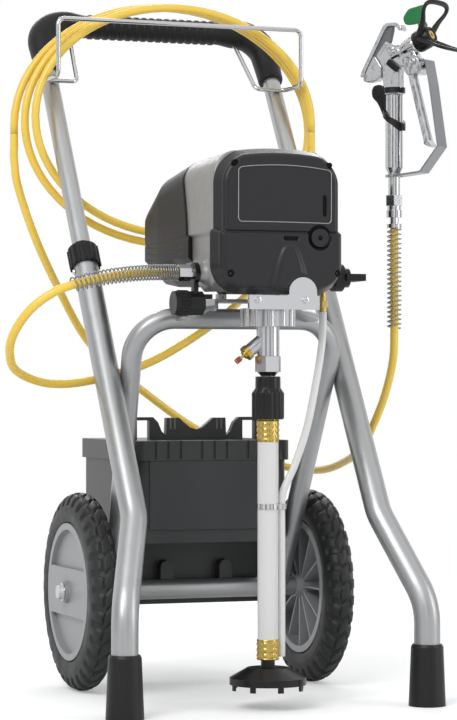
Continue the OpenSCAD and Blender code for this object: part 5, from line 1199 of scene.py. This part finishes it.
# %% [markdown]
# ## Suction side
#
# The swivel nut is a ribbed cap with a shoulder. The brass ferrules are crimped: the jaws of a tool press three
# rows of ten shallow pyramids into them. A pyramid is the radius less a share of the distance from its middle,
# measured as the larger of the distances round and along. The pusher under the inlet valve ends in a red cap.

# %% Nut
UPWARDS = (0, 0, 1)
PUMP_Y, NUT_TOP, NUT_TALL = 45.0, 475.0, 61.5
NUT_LOW = NUT_TOP - NUT_TALL


def nut_ribs(s, a):
    """Eighteen ribs on the wide part of the nut: the radius waves by 3.5 parts in a hundred."""
    return 1 + 0.035 * np.cos(18 * a) * step(0.5, 2.5, s) * step(41, 37, s)


nut_profile = [(0, 15.6), (0, 21.6), (1.5, 22.4), (38, 22.4), (45, 18.2), (60.3, 18.0), (61.5, 17.2), (61.5, 10.4)]
turned("ribbed_suction_nut", "suction_swivel", "black_plastic", (0, PUMP_Y, NUT_LOW), UPWARDS,
       edged(nut_profile, 0.8), 144, nut_ribs, nodes=("suction_nut",))

# %% Crimped ferrules
ROW_LOW, ROW_HIGH = 2.0, 26.6   # where the rows of pyramids start and end along a ferrule


def crimped(s, a):
    """Three rows of ten pyramids: the radius falls by 7 parts in a hundred from a pyramid's middle to its edge."""
    row = (s - ROW_LOW) / (ROW_HIGH - ROW_LOW) * 3
    off = np.maximum(np.abs(row % 1 - 0.5), np.abs(a * 10 / (2 * math.pi) % 1 - 0.5))
    return 1 - 0.18 * np.maximum(off - 0.12, 0) * (s > ROW_LOW) * (s < ROW_HIGH)


ferrule_rows = [(s, 16.4) for s in np.linspace(ROW_LOW - 0.6, ROW_HIGH + 0.6, 46)]
ferrule = [(0, 8.6), (0, 15.6), (0.4, 16.0), *ferrule_rows, (28.6, 16.0), (29, 15.6), (29, 8.6)]
for word, low_z in (("upper", 383.8), ("lower", 70.2)):
    turned(f"crimped_ferrule_{word}", "cart", "brass", (0, PUMP_Y, low_z), UPWARDS, ferrule, 120, crimped)

# %% Red cap of the pusher
PUSHER_ROOT, PUSHER_LONG = np.array([0.0, PUMP_Y, 534.0]), 53.2
cap_red, _ = surface("red_nylon_cap", "#a32a24", 0.0, 0.4, IOR=1.53)
branch = unit(np.array([-0.78, 0.0, -0.62]))
cap_profile = edged([(0, 0.4), (0, 3.4), (1, 4.0), (7.6, 4.0), (9.0, 3.2), (9.2, 0.4)], 0.5)
turned("red_pusher_cap", "pusher", "brass", PUSHER_ROOT + PUSHER_LONG * branch, branch, cap_profile, 36,
       material=cap_red)
print("suction side made")

# %% [markdown]
# ## Tyres
#
# A block-tread tyre is a closed section carried round the axle. The section is a smooth curve through a few
# points of half of it. The tread is cut into that surface: zigzag grooves run round it and cross grooves divide
# the shoulders and the middle into blocks, which stand half a pitch apart on the two sides.

# %% Tyre section and tread
TREAD_PITCHES, TREAD_DEPTH = 34, 3.6
TYRE_COLUMNS = 14 * TREAD_PITCHES
half_section = [(0.0, 150.0), (6.0, 149.3), (11.5, 146.8), (16.0, 142.6), (19.2, 136.0), (21.2, 127.0),
                (21.8, 117.0), (20.8, 108.5), (18.6, 104.8), (15.4, 104.4), (14.4, 100.4), (8.0, 99.6)]


def saw(t):
    """Triangle wave between -1 and 1 with a period of 1."""
    return 4 * np.abs(t % 1 - 0.5) - 1


def tread_cut(x, r, a):
    """Depth cut away at width x, radius r and angle a: the deepest of the round, shoulder and middle grooves."""
    turn = a * TREAD_PITCHES / (2 * math.pi)
    side = np.sign(x + 1e-9)
    around = step(1.9, 1.0, np.abs(np.abs(x) - 7.2 - 1.6 * saw(turn + 0.25 * side)))
    shoulder = step(0.24, 0.17, np.abs((turn + 0.25 * side + 0.012 * np.abs(x)) % 1 - 0.5)) * step(6.5, 8, np.abs(x))
    middle = step(0.13, 0.08, np.abs((turn + 0.05 * x) % 1 - 0.5)) * step(8, 6.5, np.abs(x))
    cut = np.maximum(around, np.maximum(shoulder, middle)) * step(129, 134, r)
    return TREAD_DEPTH * cut


def tyre(side):
    """p(t, a) = section point, moved inwards along its normal by the cut, and turned about the axle by a."""
    axle = np.mean(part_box(f"tyre_{side}"), axis=0)
    half = np.array(half_section)
    ring = closed_curve(np.vstack([half, half[:0:-1] * [-1, 1]]), 4)
    normal = ring_outward(ring)
    middle = np.array([0.0, ring[:, 1].mean()])
    normal *= np.sign(np.sum(normal * (ring - middle), axis=1).mean())
    angle = cyclic(TYRE_COLUMNS)
    x, r, a = ring[:, :1], ring[:, 1:], angle[None, :]
    cut = tread_cut(x, r, a) - 0.7 * np.exp(-((r - 121) / 1.3) ** 2) * (np.abs(x) > 18)
    x, r = x - cut * normal[:, :1], r - cut * normal[:, 1:]
    grid = axle + MM * np.stack([x, r * np.cos(a), r * np.sin(a)], -1)
    index = np.arange(ring.shape[0] * TYRE_COLUMNS).reshape(-1, TYRE_COLUMNS)
    faces = [grid_faces(np.vstack([index, index[:1]]), True)]
    piece = make_mesh(f"block_tread_tyre_{side}", grid.reshape(-1, 3), faces)
    return fit(piece, f"wheel_{side}", "tyre_rubber", f"tyre_{side}")


for side in ("left", "right"):
    print("tyre faces:", len(tyre(side).data.polygons))

# %% [markdown]
# ## Light
#
# A sprayer for a catalogue stands in a white tent. One large soft lamp is above and to the left, one lower on
# the right, and a strip behind draws a bright line down the tubes. The surroundings are white to the camera
# and in reflections, and a little dimmer as a light, so that pale surfaces keep their colour.

# %% Lamps
def soft_lamp(name, place, target, size, power):
    """A rectangular lamp at a place, turned so that it faces its target."""
    lamp = bpy.data.lights.new(name, "AREA")
    lamp.shape = "RECTANGLE"
    lamp.size, lamp.size_y = size
    lamp.energy = power
    holder = bpy.data.objects.new(name, lamp)
    scene.collection.objects.link(holder)
    holder.location = place
    holder.rotation_euler = (Vector(target) - Vector(place)).to_track_quat("-Z", "Y").to_euler()
    return holder


soft_lamp("key_lamp", (-2.2, -2.2, 2.6), (0.0, 0.0, 0.6), (1.8, 1.8), 64)
soft_lamp("fill_lamp", (2.4, -2.4, 1.3), (0.0, 0.0, 0.5), (1.2, 2.2), 26)
soft_lamp("rim_lamp", (0.6, 2.4, 2.2), (0.0, 0.0, 0.6), (2.2, 0.8), 30)

# %% White tent
world = bpy.data.worlds.new("white_tent")
scene.world = world
world.use_nodes = True
world.node_tree.nodes.clear()
ray = add(world, "ShaderNodeLightPath")
seen = add(world, "ShaderNodeBackground", {"Color": (1.0, 1.0, 1.0, 1.0), "Strength": 1.0})
tent = add(world, "ShaderNodeBackground", {"Color": light("#eceef0"), "Strength": 0.6})
mirror = add(world, "ShaderNodeMath", {0: ray.outputs["Is Glossy Ray"], 1: ray.outputs["Is Transmission Ray"]},
             operation="MAXIMUM")
bright = add(world, "ShaderNodeMath", {0: ray.outputs["Is Camera Ray"], 1: mirror.outputs["Value"]},
             operation="MAXIMUM")
choice = add(world, "ShaderNodeMixShader", {"Fac": bright.outputs["Value"]})
world.node_tree.links.new(tent.outputs["Background"], choice.inputs[1])
world.node_tree.links.new(seen.outputs["Background"], choice.inputs[2])
add(world, "ShaderNodeOutputWorld", {"Surface": choice.outputs["Shader"]})

# %% [markdown]
# The floor is white paper. It catches the cart's shadow, glows a little for the camera so that it is as white as
# the tent, and fades into the tent further out.

# %% Floor
FLOOR_HALF, FLOOR_DROP = 7.0, 0.0002   # metres; the drop keeps it clear of the feet
PAPER_GLOW, FADE_START, FADE_END = 0.24, 0.9, 2.6
one_quad = [np.array([[0, 1, 2, 3]])]
floor_points = FLOOR_HALF * np.array([[-1, -1, 0], [1, -1, 0], [1, 1, 0], [-1, 1, 0]]) - [0, 0, FLOOR_DROP]
floor = make_mesh("studio_floor", floor_points, one_quad, smooth=False)
floor_finish, paper = surface("white_studio_paper", "#fafafa", 0.0, 0.9, Specular_IOR_Level=0.2)
seen_by = add(floor_finish, "ShaderNodeLightPath")
glow = add(floor_finish, "ShaderNodeMath", {0: seen_by.outputs["Is Camera Ray"], 1: PAPER_GLOW},
           operation="MULTIPLY")
paper_links = floor_finish.node_tree.links
paper_links.new(glow.outputs["Value"], paper.inputs["Emission Strength"])
paper.inputs["Emission Color"].default_value = (1.0, 1.0, 1.0, 1.0)
place = add(floor_finish, "ShaderNodeTexCoord")
reach = add(floor_finish, "ShaderNodeVectorMath", {0: place.outputs["Object"]}, operation="LENGTH")
fade = add(floor_finish, "ShaderNodeMapRange", {"Value": reach.outputs["Value"], "From Min": FADE_START,
           "From Max": FADE_END}, interpolation_type="SMOOTHSTEP")
clear = add(floor_finish, "ShaderNodeBsdfTransparent")
blend = add(floor_finish, "ShaderNodeMixShader", {"Fac": fade.outputs["Result"]})
paper_links.new(paper.outputs["BSDF"], blend.inputs[1])
paper_links.new(clear.outputs["BSDF"], blend.inputs[2])
paper_links.new(blend.outputs["Shader"], floor_finish.node_tree.nodes["Material Output"].inputs["Surface"])
floor.data.materials.append(floor_finish)
floor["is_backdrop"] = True

# %% [markdown]
# Polished metal needs something dark to reflect. Photographers stand black cards beside the object, out of the
# picture; here they are hidden from the camera and cast no shadow, so only reflections show them.

# %% Black cards
card_black, _ = surface("black_card", "#050505", 0.0, 0.9)
CARD_LOW, CARD_HIGH = 0.02, 2.4
# Name, x and y of the middle, turn in degrees, width.
card_places = (
    ("card_left", -1.5, -1.9, 52, 0.5), ("card_right", 1.3, -2.0, -38, 0.5), ("card_middle", 0.1, -3.9, 0, 0.7),
    ("card_back", 0.9, 2.2, 25, 0.5), ("card_side_1", -2.2, -0.75, 90, 0.16), ("card_side_2", -2.2, -0.36, 90, 0.12),
    ("card_side_3", -2.2, 0.02, 90, 0.2), ("card_side_4", -2.2, 0.55, 90, 0.3), ("card_side_5", 2.3, -0.2, 90, 0.4))
for card_name, cx, cy, turn, wide in card_places:
    across = wide / 2 * np.array([-1, 1, 1, -1])
    corners = np.stack([cx + math.cos(math.radians(turn)) * across, cy - math.sin(math.radians(turn)) * across,
                        [CARD_LOW, CARD_LOW, CARD_HIGH, CARD_HIGH]], -1)
    card = make_mesh(card_name, corners, one_quad, smooth=False)
    card.data.materials.append(card_black)
    card.visible_camera = card.visible_shadow = card.visible_diffuse = card.visible_transmission = False
    card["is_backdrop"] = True

scene.view_settings.view_transform = "Standard"

# %% [markdown]
# ## Size of the scene
#
# The script prints how much larger the finished scene's box is than the drawing's, in millimetres.
# The finished scene must fill the same box as the drawing.

# %% Boxes and the end
low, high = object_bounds()
larger = (np.subtract(high, low) - np.subtract(cad_high, cad_low)) / MM
print("the scene's box is larger than the drawing's by", np.round(larger, 1), "mm")
